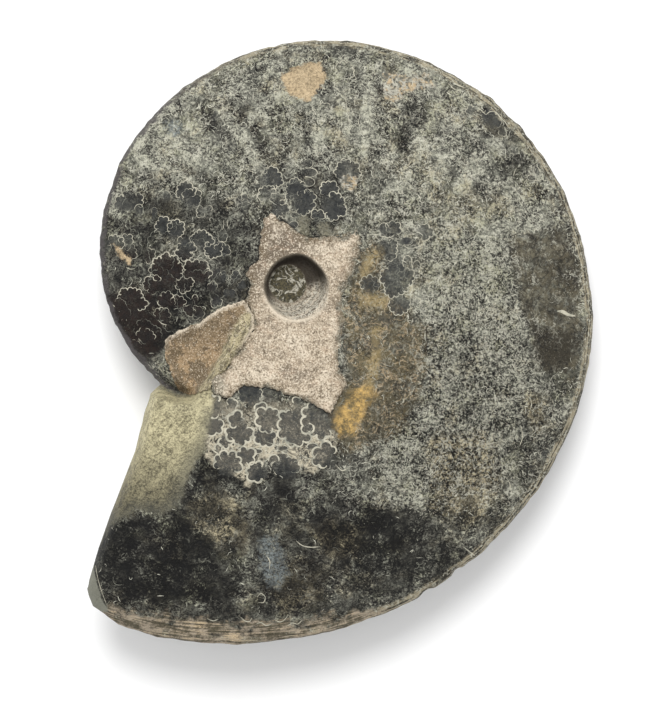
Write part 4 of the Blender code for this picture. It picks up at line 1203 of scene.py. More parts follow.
def whorl_marks(points):
    """Values that follow the coil, read by the stone's material, with distances in millimetres."""
    radius, before, after = whorl_turns(points)
    past_step = line_distance(points, metres(STEP)) > 0.0
    turn = np.where(past_step, after, before)
    venter = venter_radius(turn)
    share = np.clip((radius - UMBILICAL_RADIUS) / (venter - UMBILICAL_RADIUS), 0.0, 1.0)
    return {
        "coarse": coarseness(points),
        "ribs": rib_wave(share, turn),
        "turn": turn / 360.0,
        "from_keel": np.clip((venter - radius) / MM, -2.0, 12.0),
        "mud": nearest_edge(points, [MUD]),
        "corner": nearest_edge(points, [CORNER]),
    }


def calmness(points):
    """How much less rough and flecked the stone is, from 0 for not at all."""
    return strongest(points, CALM_ZONES, 0.0)


def soft_side(points):
    """Where the crust runs out gently into the stone instead of ending in a step, from 0 to 1."""
    return smooth(*CRUST_SOFT_X, points[:, 0]) * smooth(*CRUST_SOFT_Y, points[:, 1])


def front_marks(points):
    """Values for the upper flank: where each finish is, how light the stone is, and where the painted
    shadow beside the crust falls.
    """
    marks = whorl_marks(points)
    for name, outlines in ZONE_MARKS.items():
        marks[name] = nearest_edge(points, outlines)
    marks["calm"] = calmness(points)
    marks["leaf"], marks["leaf_fill"] = leaf_marks(points)
    marks["lightness"] = lightness(points)
    marks["seam"] = np.abs(line_distance(points, metres(SEAM))) / MM
    # Painted shadow beside the crust: distance out from its edge, pushed away where the crust runs out
    # gently
    crust = ragged_loop(CRUST, *CRUST_BREAK)
    beside = -inside_distance(points, crust) / MM + 3.0 * soft_side(points)
    marks["crust_shadow_distance"] = np.clip(beside, -1.0, 3.0)
    return marks


def back_marks(points):
    """The same values for the flank that the stone lies on, which is plainer."""
    marks = whorl_marks(points)
    far = np.full(len(points), FAR_OUTSIDE)
    for name in (*ZONE_MARKS, "leaf"):
        marks[name] = far
    marks["leaf_fill"] = np.zeros(len(points))
    marks["calm"] = np.full(len(points), BACK_CALM)
    clouds = soft_noise(points, BACK_CLOUD_SIZE, 31.0, 3)
    marks["lightness"] = BACK_LIGHTNESS + BACK_UNEVENNESS * clouds
    marks["seam"] = -far
    marks["crust_shadow_distance"] = -far
    return marks


def add_piece(name, vertices, faces, material, marks, bake_plan):
    """Make a mesh object with its material, marks and bake layout, and let it ride on the body."""
    mesh = bpy.data.meshes.new(name)
    mesh.from_pydata(vertices.tolist(), [], faces)
    mesh.materials.append(material)
    mesh.shade_smooth()
    for mark, values in marks.items():
        attribute = mesh.attributes.new(mark, "FLOAT", "POINT")
        attribute.data.foreach_set("value", np.asarray(values, dtype=np.float32))
    add_bake_map(mesh, bake_plan)
    piece = bpy.data.objects.new(name, mesh)
    bpy.context.scene.collection.objects.link(piece)
    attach(piece, BODY)
    return piece


def add_bake_map(mesh, plan):
    """Lay the mesh out for baking: one place in the picture for each vertex."""
    corner_vertex = np.zeros(len(mesh.loops), dtype=np.int32)
    mesh.loops.foreach_get("vertex_index", corner_vertex)
    layer = mesh.uv_layers.new(name="OFBake")
    layer.uv.foreach_set("vector", plan[corner_vertex].astype(np.float32).ravel())


class NodeMaker:
    """Adds nodes to a node tree and joins them."""

    def __init__(self, tree):
        self.tree = tree

    def add(self, kind, inputs=None, **options):
        """Add a node, set its options, and set or link its inputs."""
        node = self.tree.nodes.new(kind)
        for name, value in options.items():
            setattr(node, name, value)
        for key, value in (inputs or {}).items():
            self.join(value, node.inputs[key])
        return node

    def join(self, value, socket):
        """Link a socket to another, or set its value."""
        if isinstance(value, bpy.types.NodeSocket):
            self.tree.links.new(value, socket)
        else:
            socket.default_value = value

    def northing(self):
        """How far north a place on the piece is, in millimetres."""
        return self.add("ShaderNodeSeparateXYZ", {0: self.point()}).outputs[1]

    def slanted(self, angle, stretch):
        """Place on the piece in millimetres, drawn out along a line at that angle in degrees."""
        turned = self.add("ShaderNodeMapping", {0: self.point(), 2: (0.0, 0.0, math.radians(-angle))})
        drawn_out = self.add("ShaderNodeMapping", {0: turned.outputs[0], 3: (1.0 / stretch, 1.0, 1.0)})
        return drawn_out.outputs[0]

    def maths(self, operation, first, second=0.0, third=0.0):
        """One sum on two or three values."""
        inputs = {0: first, 1: second, 2: third}
        return self.add("ShaderNodeMath", inputs, operation=operation).outputs[0]

    def rise(self, value, low, high, top=1.0):
        """Rise smoothly from 0 where the value is low to the top where it is high."""
        inputs = {"Value": value, "From Min": low, "From Max": high, "To Max": top}
        return self.add("ShaderNodeMapRange", inputs, interpolation_type="SMOOTHSTEP").outputs[0]

    def scaled(self, value, factor, base):
        """A value times a factor, plus a base."""
        return self.maths("MULTIPLY_ADD", value, factor, base)

    def times(self, first, *others):
        """Product of two or more values."""
        for other in others:
            first = self.maths("MULTIPLY", first, other)
        return first

    def highest(self, first, *others):
        """The highest of two or more values."""
        for other in others:
            first = self.maths("MAXIMUM", first, other)
        return first

    def share(self, base, value, share):
        """Add a share of how far a value is above a half."""
        return self.scaled(self.maths("SUBTRACT", value, 0.5), share, base)

    def ramp(self, value, low, high, first, second, top=1.0):
        """The first colour where a value is low, and up to that share of the second where high."""
        return self.blend(self.rise(value, low, high, top), first, second)

    def blend(self, mask, first, second, strength=1.0, way="MIX"):
        """Lay the second colour over the first where the mask is, at that strength."""
        if strength != 1.0:
            mask = self.times(mask, strength)
        inputs = {0: mask, 6: first, 7: second}
        return self.add("ShaderNodeMix", inputs, data_type="RGBA", blend_type=way).outputs[2]

    def noise(self, point, size, detail=3.0, roughness=0.55, distortion=0.0):
        """Noise with lumps of that size in millimetres, around a half."""
        inputs = {"Vector": point, "Scale": 1.0 / size, "Detail": detail, "Roughness": roughness,
                  "Distortion": distortion}
        return self.add("ShaderNodeTexNoise", inputs).outputs[0]

    def mark(self, name):
        """A value that the mesh carries at each point."""
        return self.add("ShaderNodeAttribute", attribute_name=name).outputs["Fac"]

    def point(self, seed=0.0):
        """Place on the piece in millimetres, moved by a seed so that patterns differ."""
        place = self.add("ShaderNodeTexCoord").outputs["Object"]
        scaled = self.add("ShaderNodeVectorMath", {0: place, "Scale": MM_PER_METRE},
                          operation="SCALE").outputs[0]
        offset = self.add("ShaderNodeCombineXYZ", {0: seed, 1: seed, 2: seed}).outputs[0]
        return self.add("ShaderNodeVectorMath", {0: scaled, 1: offset}, operation="ADD").outputs[0]

    def group(self, name, inputs):
        """Place a shader group in this tree and give back its first output."""
        node = self.tree.nodes.new("ShaderNodeGroup")
        node.node_tree = bpy.data.node_groups.get(name) or GROUP_BUILDERS[name]()
        for key, value in inputs.items():
            self.join(value, node.inputs[key])
        return node.outputs[0]

    def mottling(self, size, roughness, seed):
        """Cloudy unevenness around a half."""
        return self.group("fossil mottling", {"Size": size, "Roughness": roughness, "Seed": seed})

    def edge(self, distance, raggedness, size, softness, seed):
        """A mask that ends in a ragged line where the distance is 0."""
        return self.group("fossil ragged edge", {"Distance": distance, "Raggedness": raggedness,
                                                 "Size": size, "Softness": softness, "Seed": seed})

    def zone(self, name, edge=None):
        """A mask with a ragged edge where the mesh's mark of that name is above 0."""
        return self.edge(self.mark(name), *(edge or ZONE_EDGES[name]))

    def patches(self, size, roughness, seed, low, high, top=1.0):
        """A mask of cloudy patches."""
        return self.rise(self.mottling(size, roughness, seed), low, high, top)

    def specks(self, size, share, seed):
        """A mask of small specks."""
        return self.group("fossil specks", {"Size": size, "Share": share, "Seed": seed})

    def worms(self, size, width, seed):
        """A mask of thin curled lines."""
        return self.group("fossil squiggles", {"Size": size, "Width": width, "Seed": seed})


def new_group(name, inputs, output):
    """A shader group with one output: the group, its maker, its inputs and the socket of its end."""
    group = bpy.data.node_groups.new(name, "ShaderNodeTree")
    for label, value in inputs.items():
        socket = group.interface.new_socket(name=label, in_out="INPUT", socket_type="NodeSocketFloat")
        socket.default_value = value
    group.interface.new_socket(name=output, in_out="OUTPUT", socket_type="NodeSocketFloat")
    maker = NodeMaker(group)
    return group, maker, maker.add("NodeGroupInput").outputs, maker.add("NodeGroupOutput").inputs[0]


def group_noise(maker, given, detail, roughness, distortion=0.0):
    """Noise of the group's size in millimetres, moved by the group's seed."""
    place = maker.point(given["Seed"])
    share = maker.maths("DIVIDE", 1.0, given["Size"])
    scaled = maker.add("ShaderNodeVectorMath", {0: place, "Scale": share}, operation="SCALE")
    return maker.noise(scaled.outputs[0], 1.0, detail, roughness, distortion)


def mottling_group():
    """Cloudy unevenness, from the given size down to fine grains."""
    group, maker, given, result = new_group(
        "fossil mottling", {"Size": 5.0, "Roughness": 0.6, "Seed": 0.0}, "Value")
    maker.join(group_noise(maker, given, 5.0, given["Roughness"]), result)
    return group


def ragged_edge_group():
    """Cut a distance off along a ragged line: 1 inside, 0 outside."""
    group, maker, given, result = new_group(
        "fossil ragged edge",
        {"Distance": 0.0, "Raggedness": 1.0, "Size": 1.5, "Softness": 0.3, "Seed": 0.0}, "Mask")
    wander = maker.scaled(group_noise(maker, given, 5.0, 0.65), 4.0, -2.0)
    moved = maker.scaled(wander, given["Raggedness"], given["Distance"])
    low = maker.times(given["Softness"], -1.0)
    maker.join(maker.rise(moved, low, given["Softness"]), result)
    return group


def speck_group():
    """Small specks of one size that cover a share of the surface."""
    group, maker, given, result = new_group(
        "fossil specks", {"Size": 0.35, "Share": 0.1, "Seed": 0.0}, "Mask")
    rough = group_noise(maker, given, 2.0, 0.7)
    limit = maker.scaled(given["Share"], -0.5, 0.75)
    top = maker.maths("ADD", limit, 0.06)
    mask = maker.add("ShaderNodeMapRange", {"Value": rough, "From Min": limit, "From Max": top})
    maker.join(mask.outputs[0], result)
    return group


def squiggle_group():
    """Thin worm-like lines: the level lines of a noise."""
    group, maker, given, result = new_group(
        "fossil squiggles", {"Size": 1.4, "Width": 0.03, "Seed": 0.0}, "Mask")
    rough = group_noise(maker, given, 2.0, 0.5, 0.9)
    away = maker.maths("ABSOLUTE", maker.maths("SUBTRACT", rough, 0.5))
    maker.join(maker.rise(away, given["Width"], 0.0), result)
    return group


GROUP_BUILDERS = {"fossil mottling": mottling_group, "fossil ragged edge": ragged_edge_group,
                  "fossil specks": speck_group, "fossil squiggles": squiggle_group}


def new_material(name, roughness, shine):
    """A material with a plain Principled shader, and a maker for its nodes."""
    material = bpy.data.materials.new(name)
    material.use_nodes = True
    shader = material.node_tree.nodes["Principled BSDF"]
    shader.inputs["Roughness"].default_value = roughness
    shader.inputs["Specular IOR Level"].default_value = shine
    return material, NodeMaker(material.node_tree), shader


def tone_colour(maker, tone, colours):
    """Stone colour for a tone, from black at 0 to pale at 1."""
    ramp = maker.add("ShaderNodeValToRGB", {"Fac": tone})
    steps = (colours.black, colours.dark, colours.grey, colours.light, colours.pale)
    stops = ramp.color_ramp.elements
    stops[0].position = 0.0
    stops[0].color = steps[0]
    stops[1].position = 0.95
    stops[1].color = steps[-1]
    for place, shade in zip((0.3, 0.52, 0.72), steps[1:-1]):
        stop = stops.new(place)
        stop.color = shade
    return ramp.outputs["Color"]


def finish_shader(maker, shader, colour, roughness, relief, depth):
    """Give a shader its colour, roughness and relief, of which 1 stands for that depth."""
    bump = maker.add("ShaderNodeBump", {"Height": relief, "Distance": depth, "Strength": 1.0})
    maker.join(colour, shader.inputs["Base Color"])
    maker.join(roughness, shader.inputs["Roughness"])
    maker.join(bump.outputs["Normal"], shader.inputs["Normal"])


def weathered_tone(maker, coarse):
    """How light the bare stone is, with smooth and rough patches and painted light and shade on its
    ribs, and how rough it is there.
    """
    rough = maker.patches(3.8, 0.55, 3.0, 0.42, 0.56)
    rough = maker.scaled(rough, 0.55, 0.4)
    rough = maker.highest(rough, coarse)
    brown = maker.zone("brown", CALM_SHELL_EDGE)
    leaf = maker.times(maker.zone("leaf", CALM_LEAF_EDGE), maker.mark("leaf_fill"))
    calm = maker.maths("SUBTRACT", 1.0, maker.times(maker.highest(brown, leaf), 0.6))
    rough = maker.times(rough, calm)
    rough = maker.times(rough, maker.scaled(maker.mark("calm"), -0.15, 1.0))
    tone = maker.share(maker.mark("lightness"), maker.mottling(9.0, 0.5, 27.0), 0.7)
    tone = maker.share(tone, maker.mottling(2.4, 0.5, 9.0), 1.1)
    # Painted light on the rib crests and painted shade in the grooves between them
    tone = maker.scaled(maker.mark("ribs"), RIB_LIGHT_AND_SHADE, tone)
    knots = maker.rise(maker.noise(maker.point(), 0.56, 2.0, 0.55, 1.2), 0.5, 0.57)
    pores = maker.rise(maker.noise(maker.point(131.0), 0.52, 2.0, 0.6, 0.7), 0.48, 0.42)
    blocks = maker.scaled(pores, -1.4, knots)
    blocks = maker.times(blocks, maker.scaled(coarse, 0.24, 0.04))
    grain = maker.rise(maker.noise(maker.point(57.0), 0.3, 2.0, 0.7), 0.34, 0.66)
    fine = maker.share(blocks, grain, 0.42)
    fine = maker.scaled(maker.worms(1.4, 0.07, 141.0), 0.4, fine)
    fine = maker.scaled(maker.worms(1.5, 0.07, 171.0), -0.42, fine)
    tone = maker.scaled(fine, rough, tone)
    return tone, fine, rough


def tint_stone(maker, stone, colours):
    """Olive, brown and cool tints, brown shell and yellow stains."""
    olive = maker.patches(5.0, 0.6, 23.0, 0.48, 0.62, 0.45)
    stone = maker.blend(olive, stone, colours.olive, way="SOFT_LIGHT")
    earthy = maker.zone("earthy")
    earthy = maker.highest(earthy, maker.patches(5.5, 0.65, 79.0, 0.5, 0.64, 0.6))
    stone = maker.blend(earthy, stone, colours.earth, 0.8, "COLOR")
    blotches = maker.mottling(2.2, 0.65, 39.0)
    shell = maker.ramp(blotches, 0.4, 0.6, colours.brown, colours.brown_dark)
    worn = maker.patches(1.3, 0.7, 83.0, 0.66, 0.5)
    upper = maker.zone("brown")
    lower = maker.zone("brown_low")
    stone = maker.blend(maker.times(upper, worn), stone, shell, 0.85)
    deep = maker.ramp(blotches, 0.2, 0.42, colours.brown, colours.brown_dark)
    stone = maker.blend(lower, stone, deep, 0.92)
    yellow = maker.zone("yellow")
    ground = maker.blend(maker.patches(3.0, 0.6, 89.0, 0.42, 0.6), colours.brown, colours.yellow)
    stone = maker.blend(maker.times(yellow, maker.rise(blotches, 0.22, 0.46, 0.85)), stone, ground)
    clumps = maker.rise(blotches, 0.6, 0.45, 0.55)
    curls = maker.times(maker.worms(1.6, 0.055, 191.0), yellow, clumps)
    stone = maker.blend(curls, stone, colours.tan)
    streaks = maker.zone("streaks")
    return maker.blend(streaks, stone, colours.streak, 0.65)


def fill_leaves(maker, stone, colours):
    """The dark filling inside the leaves of the suture lines, smoother than the bare stone."""
    cloud = maker.mottling(1.0, 0.7, 29.0)
    warm = maker.rise(maker.mark("warm"), -2.0, 1.5)
    cool_fill = maker.ramp(cloud, 0.38, 0.64, colours.fill_cool, colours.fill_grey)
    warm_fill = maker.ramp(cloud, 0.38, 0.68, colours.fill_warm, colours.fill_brown)
    filling = maker.blend(warm, cool_fill, warm_fill)
    net = maker.rise(maker.mark("net"), -1.0, 1.0)
    net_fill = maker.ramp(cloud, 0.36, 0.6, colours.fill_grey, colours.fill_net)
    filling = maker.blend(net, filling, net_fill)
    leaf = maker.zone("leaf")
    leaf = maker.times(leaf, maker.scaled(net, 0.5, 1.0))
    leaf = maker.times(leaf, maker.mark("leaf_fill"))
    leaf = maker.highest(leaf, maker.zone("burnt"))
    dusty = maker.rise(maker.noise(maker.point(29.0), 0.34, 2.0, 0.7), 0.66, 0.42)
    leaf = maker.times(leaf, maker.scaled(dusty, 0.4, 0.6))
    return maker.blend(leaf, stone, filling)


def net_ground(maker, stone, colours):
    """The pale crystals between the leaves below the crust, thickest along the lower side."""
    ground = maker.zone("net")
    low = maker.rise(maker.northing(), -12.5, -15.5)
    ridges = maker.worms(2.4, 0.11, 211.0)
    fine_ridges = maker.times(maker.worms(1.5, 0.08, 223.0), 0.8)
    crumbs = maker.rise(maker.noise(maker.point(11.0), 0.8, 3.0, 0.65, 1.0), 0.48, 0.6, 0.8)
    light = maker.highest(ridges, fine_ridges, crumbs)
    light = maker.times(light, maker.scaled(low, 0.55, 0.45))
    pale = maker.blend(light, colours.dark, colours.net)
    return maker.blend(ground, stone, pale, 0.85)


def keel_finish(maker, stone, colours):
    """Light shell with growth lines along the keel, dark on the whorl before."""
    from_keel = maker.mark("from_keel")
    turn = maker.mark("turn")
    across = maker.times(from_keel, 3.2)
    along = maker.times(turn, 60.0)
    lines = maker.add("ShaderNodeCombineXYZ", {0: across, 1: along}).outputs[0]
    streaks = maker.add("ShaderNodeTexNoise", {"Vector": lines, "Scale": 1.0, "Detail": 2.0}).outputs[0]
    light = maker.ramp(streaks, 0.42, 0.56, colours.brown_dark, colours.keel)
    light = maker.blend(maker.specks(0.45, 0.4, 69.0), light, colours.fleck, 0.7)
    shell = maker.ramp(turn, 0.24, 0.34, colours.keel_dark, light)
    width = maker.scaled(maker.rise(turn, 0.3, 0.5), 0.4, 0.85)
    stripe = maker.edge(maker.maths("SUBTRACT", width, from_keel), 0.55, 1.6, 0.3, 71.0)
    stripe = maker.times(stripe, maker.patches(1.8, 0.65, 65.0, 0.34, 0.5, 0.85))
    stone = maker.blend(stripe, stone, shell)
    rusty = maker.share(streaks, maker.mottling(1.4, 0.7, 47.0), 1.0)
    rusty = maker.ramp(rusty, 0.34, 0.66, colours.brown, colours.band)
    pink = maker.times(maker.rise(streaks, 0.5, 0.66), maker.patches(3.0, 0.6, 43.0, 0.4, 0.6))
    rusty = maker.blend(pink, rusty, colours.tan, 0.8)
    rusty = maker.blend(maker.specks(0.4, 0.34, 45.0), rusty, colours.brown_dark, 0.6)
    band = maker.zone("tan_band")
    band = maker.times(band, maker.patches(2.6, 0.6, 49.0, 0.34, 0.5, 0.9))
    stone = maker.blend(band, stone, rusty)
    corner = maker.zone("corner")
    return maker.blend(corner, stone, colours.light, 0.95)


def sandy_finish(maker, stone, colours):
    """The greenish sand of the mouth, the rusty stain with painted shade towards the crust, the tan
    spots and the pale bloom.
    """
    grain = maker.noise(maker.point(), 0.4, 3.0, 0.75)
    blotches = maker.mottling(2.2, 0.65, 39.0)
    height = maker.northing()
    low = maker.rise(height, -13.0, -29.0, 0.88)
    fine_sand = maker.noise(maker.point(3.0), 0.3, 3.0, 0.75)
    slanted = maker.noise(maker.slanted(MUD_SLANT, MUD_STRETCH), 0.6, 3.0, 0.65, 0.8)
    sand_tone = maker.share(fine_sand, blotches, 0.7)
    sand_tone = maker.share(sand_tone, slanted, 0.5)
    sand = maker.ramp(sand_tone, 0.24, 0.68, colours.mud_dark, colours.mud_light)
    shadowed = maker.ramp(sand_tone, 0.3, 0.72, colours.dark, colours.mud_dark)
    sand = maker.blend(low, sand, shadowed)
    beside_step = maker.rise(maker.mark("mud"), 3.0, 0.3, 0.5)
    grey_side = maker.times(beside_step, maker.rise(height, -9.5, -12.5))
    sand = maker.blend(grey_side, sand, colours.grey)
    stone = maker.blend(maker.zone("mud"), stone, sand)
    # Painted shade: the rusty stain turns brown where it meets the crust's edge, as if in the crust's
    # shadow
    deep = maker.rise(maker.share(maker.mark("crust_shadow_distance"), blotches, 2.5), 2.2, 0.2, 0.85)
    rust_tone = maker.share(maker.mottling(2.0, 0.6, 53.0), grain, 0.5)
    rust = maker.ramp(rust_tone, 0.3, 0.66, colours.yellow, colours.ochre)
    rust = maker.blend(deep, rust, colours.brown)
    stone = maker.blend(maker.zone("ochre"), stone, rust)
    tan_tone = maker.share(grain, maker.mottling(1.6, 0.6, 109.0), 0.6)
    tan = maker.ramp(tan_tone, 0.34, 0.62, colours.tan_dark, colours.tan)
    stone = maker.blend(maker.zone("tan"), stone, tan, 0.92)
    whitish = maker.zone("whitish")
    worn = maker.blend(maker.patches(1.1, 0.65, 105.0, 0.44, 0.62), colours.grey, colours.tan)
    worn = maker.blend(maker.worms(1.7, 0.08, 107.0), worn, colours.bowl, 0.8)
    stone = maker.blend(whitish, stone, worn, 0.92)
    pale = maker.zone("pale")
    stone = maker.blend(maker.times(pale, maker.rise(grain, 0.3, 0.7, 0.75)), stone, colours.blue)
    fingers = maker.zone("fingers")
    fingers = maker.times(fingers, maker.rise(grain, 0.3, 0.6, 0.7))
    return maker.blend(fingers, stone, colours.finger)


def fleck_stone(maker, stone, rough, colours):
    """Pale worm-like flecks, painted glints, dark specks, thin dark cracks, the dark seam and the
    painted shadow beside the crust.
    """
    light = maker.rise(maker.mark("lightness"), 0.15, 0.6)
    clumps = maker.patches(2.6, 0.55, 19.0, 0.48, 0.58)
    curls = maker.times(maker.worms(1.25, 0.065, 151.0), clumps, 0.8)
    curls = maker.times(curls, maker.rise(rough, 0.1, 0.5))
    specks = maker.times(maker.specks(0.36, 0.36, 51.0), rough, 0.7)
    plain = maker.scaled(maker.mark("calm"), -0.3, 1.0)
    flecks = maker.times(maker.highest(curls, specks), light, plain)
    stone = maker.blend(flecks, stone, colours.fleck)
    # Painted glints: tiny pale specks that stand in for glittering highlights
    painted_glints = maker.times(maker.specks(0.26, 0.24, 251.0), light, 0.8)
    stone = maker.blend(maker.times(painted_glints, rough), stone, colours.pale_sand_and_highlight)
    cracked = maker.patches(5.0, 0.5, 31.0, 0.45, 0.56)
    cracks = maker.times(maker.worms(2.4, 0.05, 181.0), cracked, 0.7)
    dark = maker.highest(cracks, maker.times(maker.specks(0.5, 0.34, 61.0), 0.65))
    seam = maker.rise(maker.mark("seam"), 0.34, 0.1, 0.8)
    # Painted shadow on the stone along the crust's raised edge
    shade = maker.rise(maker.mark("crust_shadow_distance"), CRUST_SHADE, 0.05, 0.85)
    dark = maker.highest(dark, maker.highest(seam, shade))
    return maker.blend(dark, stone, colours.black)


def stone_material(colours):
    """The dark stone with everything that is only colour on it."""
    material, maker, shader = new_material("dark stone", 0.62, 0.2)
    coarse = maker.mark("coarse")
    tone, fine, rough = weathered_tone(maker, coarse)
    stone = tone_colour(maker, tone, colours)
    stone = tint_stone(maker, stone, colours)
    stone = net_ground(maker, stone, colours)
    stone = fleck_stone(maker, stone, rough, colours)
    stone = fill_leaves(maker, stone, colours)
    stone = keel_finish(maker, stone, colours)
    stone = sandy_finish(maker, stone, colours)
    smooth_share = maker.times(maker.rise(maker.mark("leaf"), -0.1, 0.2), maker.mark("leaf_fill"))
    gloss = maker.scaled(maker.noise(maker.point(), 0.42, 2.0, 0.6), 0.3, 0.5)
    gloss = maker.scaled(smooth_share, -0.14, gloss)
    relief = maker.times(fine, maker.scaled(rough, 0.8, 0.3))
    relief = maker.share(relief, maker.noise(maker.point(9.0), 2.4, 2.0, 0.5), 1.6)
    finish_shader(maker, shader, stone, gloss, relief, 0.2 * MM)
    return material


def calcite_material(name, light, dark):
    """Calcite of the lines and flecks, stained here and there."""
    material, maker, shader = new_material(name, 0.6, 0.3)
    mottle = maker.mottling(1.6, 0.7, 5.0)
    stained = maker.ramp(mottle, 0.3, 0.6, dark, light)
    finish_shader(maker, shader, stained, maker.scaled(mottle, 0.3, 0.45), mottle, 0.05 * MM)
    return material


def bowl_finish(maker, shade, sand, colours):
    """The whitish walls of the bowl, painted shade round the disc and on the steep north side, a painted
    highlight on the lip, and the earliest whorls.
    """
    in_bowl = maker.rise(maker.mark("bowl"), -0.2, 0.7)
    grey = maker.ramp(sand, 0.4, 0.54, colours.crust_dark, colours.bowl)
    uneven = maker.share(maker.times(maker.mark("disc"), -6.0), maker.mottling(2.0, 0.6, 25.0), 9.0)
    rings = maker.maths("SINE", uneven)
    grey = maker.ramp(rings, 0.3, 1.0, grey, colours.pale_sand_and_highlight, 0.6)
    grey = maker.blend(maker.specks(0.5, 0.42, 27.0), grey, colours.wall, 0.75)
    # Painted shade: darker towards the bottom of the bowl, round the disc
    hollow = maker.rise(maker.mark("disc"), -1.1, 0.0, 0.6)
    grey = maker.blend(hollow, grey, colours.crust_dark)
    shade = maker.blend(in_bowl, shade, grey, 0.85)
    # Painted shade on the steep north side of the bowl
    shade = maker.blend(maker.mark("wall"), shade, colours.wall, 0.95)
    # Painted highlight on the raised lip of the south side, which faces the lamp
    shade = maker.blend(maker.mark("lip"), shade, colours.pale_sand_and_highlight, 0.85)
    disc = maker.zone("disc")
    whorls = maker.ramp(sand, 0.38, 0.58, colours.dark, colours.disc)
    curls = maker.times(maker.worms(1.3, 0.06, 7.0), maker.patches(1.5, 0.6, 35.0, 0.4, 0.52))
    whorls = maker.blend(curls, whorls, colours.bowl, 0.9)
    return maker.blend(disc, shade, whorls)


def crust_material(colours):
    """Pale sandstone round the umbilicus, stained at its edges and greyer to the north-west."""
    material, maker, shader = new_material("sandstone crust", 0.85, 0.2)
    sand = maker.noise(maker.point(), 0.28, 3.0, 0.75)
    blotches = maker.mottling(2.2, 0.65, 13.0)
    clouds = maker.mottling(4.5, 0.6, 93.0)
    north = maker.rise(maker.mark("north"), -1.0, 7.5)
    body = maker.blend(north, colours.crust, colours.crust_grey, 0.85)
    body = maker.ramp(clouds, 0.5, 0.62, body, colours.pale_sand_and_highlight, 0.5)
    body = maker.ramp(clouds, 0.48, 0.36, body, colours.crust_grey, 0.6)
    body = maker.ramp(blotches, 0.5, 0.68, body, colours.crust_pink, 0.4)
    stain = maker.times(maker.rise(maker.mark("from_edge"), 2.0, 0.2), maker.rise(blotches, 0.6, 0.42))
    body = maker.blend(stain, body, colours.tongue, 0.75)
    grey = maker.zone("grey")
    body = maker.blend(grey, body, colours.light, 0.6)
    shade = maker.ramp(sand, 0.5, 0.64, body, colours.pale_sand_and_highlight, 0.9)
    shade = maker.ramp(sand, 0.49, 0.35, shade, colours.crust_dark, 0.95)
    dents = maker.patches(0.9, 0.6, 63.0, 0.46, 0.34, 0.6)
    shade = maker.blend(dents, shade, colours.crust_dark)
    dirty = maker.times(maker.specks(0.42, 0.4, 23.0), maker.rise(blotches, 0.56, 0.4, 0.8))
    shade = maker.blend(dirty, shade, colours.tongue_dark)
    thin = maker.zone("thin")
    stone = maker.ramp(sand, 0.4, 0.6, colours.dark, colours.light)
    stone = maker.ramp(blotches, 0.45, 0.6, stone, colours.yellow, 0.6)
    shade = maker.blend(thin, shade, stone, 0.75)
    shade = bowl_finish(maker, shade, sand, colours)
    finish_shader(maker, shader, shade, maker.scaled(sand, 0.25, 0.66), sand, 0.16 * MM)
    return material


def tongue_material(colours):
    """Olive-brown tongue with a greenish-cream strip beside the crust, and a painted highlight along its
    upper edge.
    """
    material, maker, shader = new_material("tongue sandstone", 0.8, 0.25)
    sand = maker.noise(maker.point(), 0.27, 3.0, 0.75)
    blotches = maker.mottling(3.4, 0.6, 17.0)
    strip = maker.zone("strip")
    height = maker.northing()
    upper = maker.rise(maker.share(height, blotches, 12.0), -3.0, 2.0, 0.7)
    body = maker.ramp(blotches, 0.44, 0.56, colours.tongue, colours.tongue_light)
    body = maker.blend(upper, body, colours.tongue)
    streaks = maker.noise(maker.slanted(STRIP_SLANT, STRIP_STRETCH), 0.8, 3.0, 0.7, 0.6)
    cream = maker.ramp(streaks, 0.4, 0.55, colours.mud_dark, colours.strip)
    body = maker.blend(strip, body, cream)
    # Painted highlight along the tongue's raised upper edge, which faces the lamp
    rim = maker.times(maker.rise(maker.mark("from_edge"), 0.9, 0.1), maker.rise(blotches, 0.36, 0.5))
    rim = maker.times(rim, maker.rise(height, -2.5, 0.5))
    body = maker.blend(rim, body, colours.pale_sand_and_highlight, 0.75)
    dents = maker.patches(1.1, 0.65, 67.0, 0.47, 0.36, 0.75)
    body = maker.blend(dents, body, colours.tongue_dark)
    shade = maker.ramp(sand, 0.54, 0.66, body, colours.pale_sand_and_highlight, 0.7)
    shade = maker.ramp(sand, 0.5, 0.34, shade, colours.tongue_dark, 0.95)
    finish_shader(maker, shader, shade, maker.scaled(sand, 0.25, 0.6), sand, 0.18 * MM)
    return material


def flat_plan(vertices, front_count):
    """Bake layout seen from above: the front beside a smaller back."""
    low = vertices.min(axis=0)[:2]
    span = (vertices.max(axis=0)[:2] - low).max()
    share = (vertices[:, :2] - low) / span
    plan = np.empty((len(vertices), 2))
    if front_count == len(vertices):
        return BAKE_MARGIN + (1.0 - 2.0 * BAKE_MARGIN) * share
    plan[:front_count] = BAKE_MARGIN + BAKE_FRONT * share[:front_count]
    plan[front_count:, 0] = BAKE_BACK_START + BAKE_BACK * share[front_count:, 0]
    plan[front_count:, 1] = BAKE_MARGIN + BAKE_BACK * share[front_count:, 1]
    return plan


def flank_points(loop, outline, rows, spacing):
    """Rows of points along the outline, and a grid inside them."""
    edge = [row_inside(loop, depth, outline) for depth in rows]
    return np.vstack(edge + [grid_inside(outline, spacing, rows[-1] + 0.5 * spacing)])


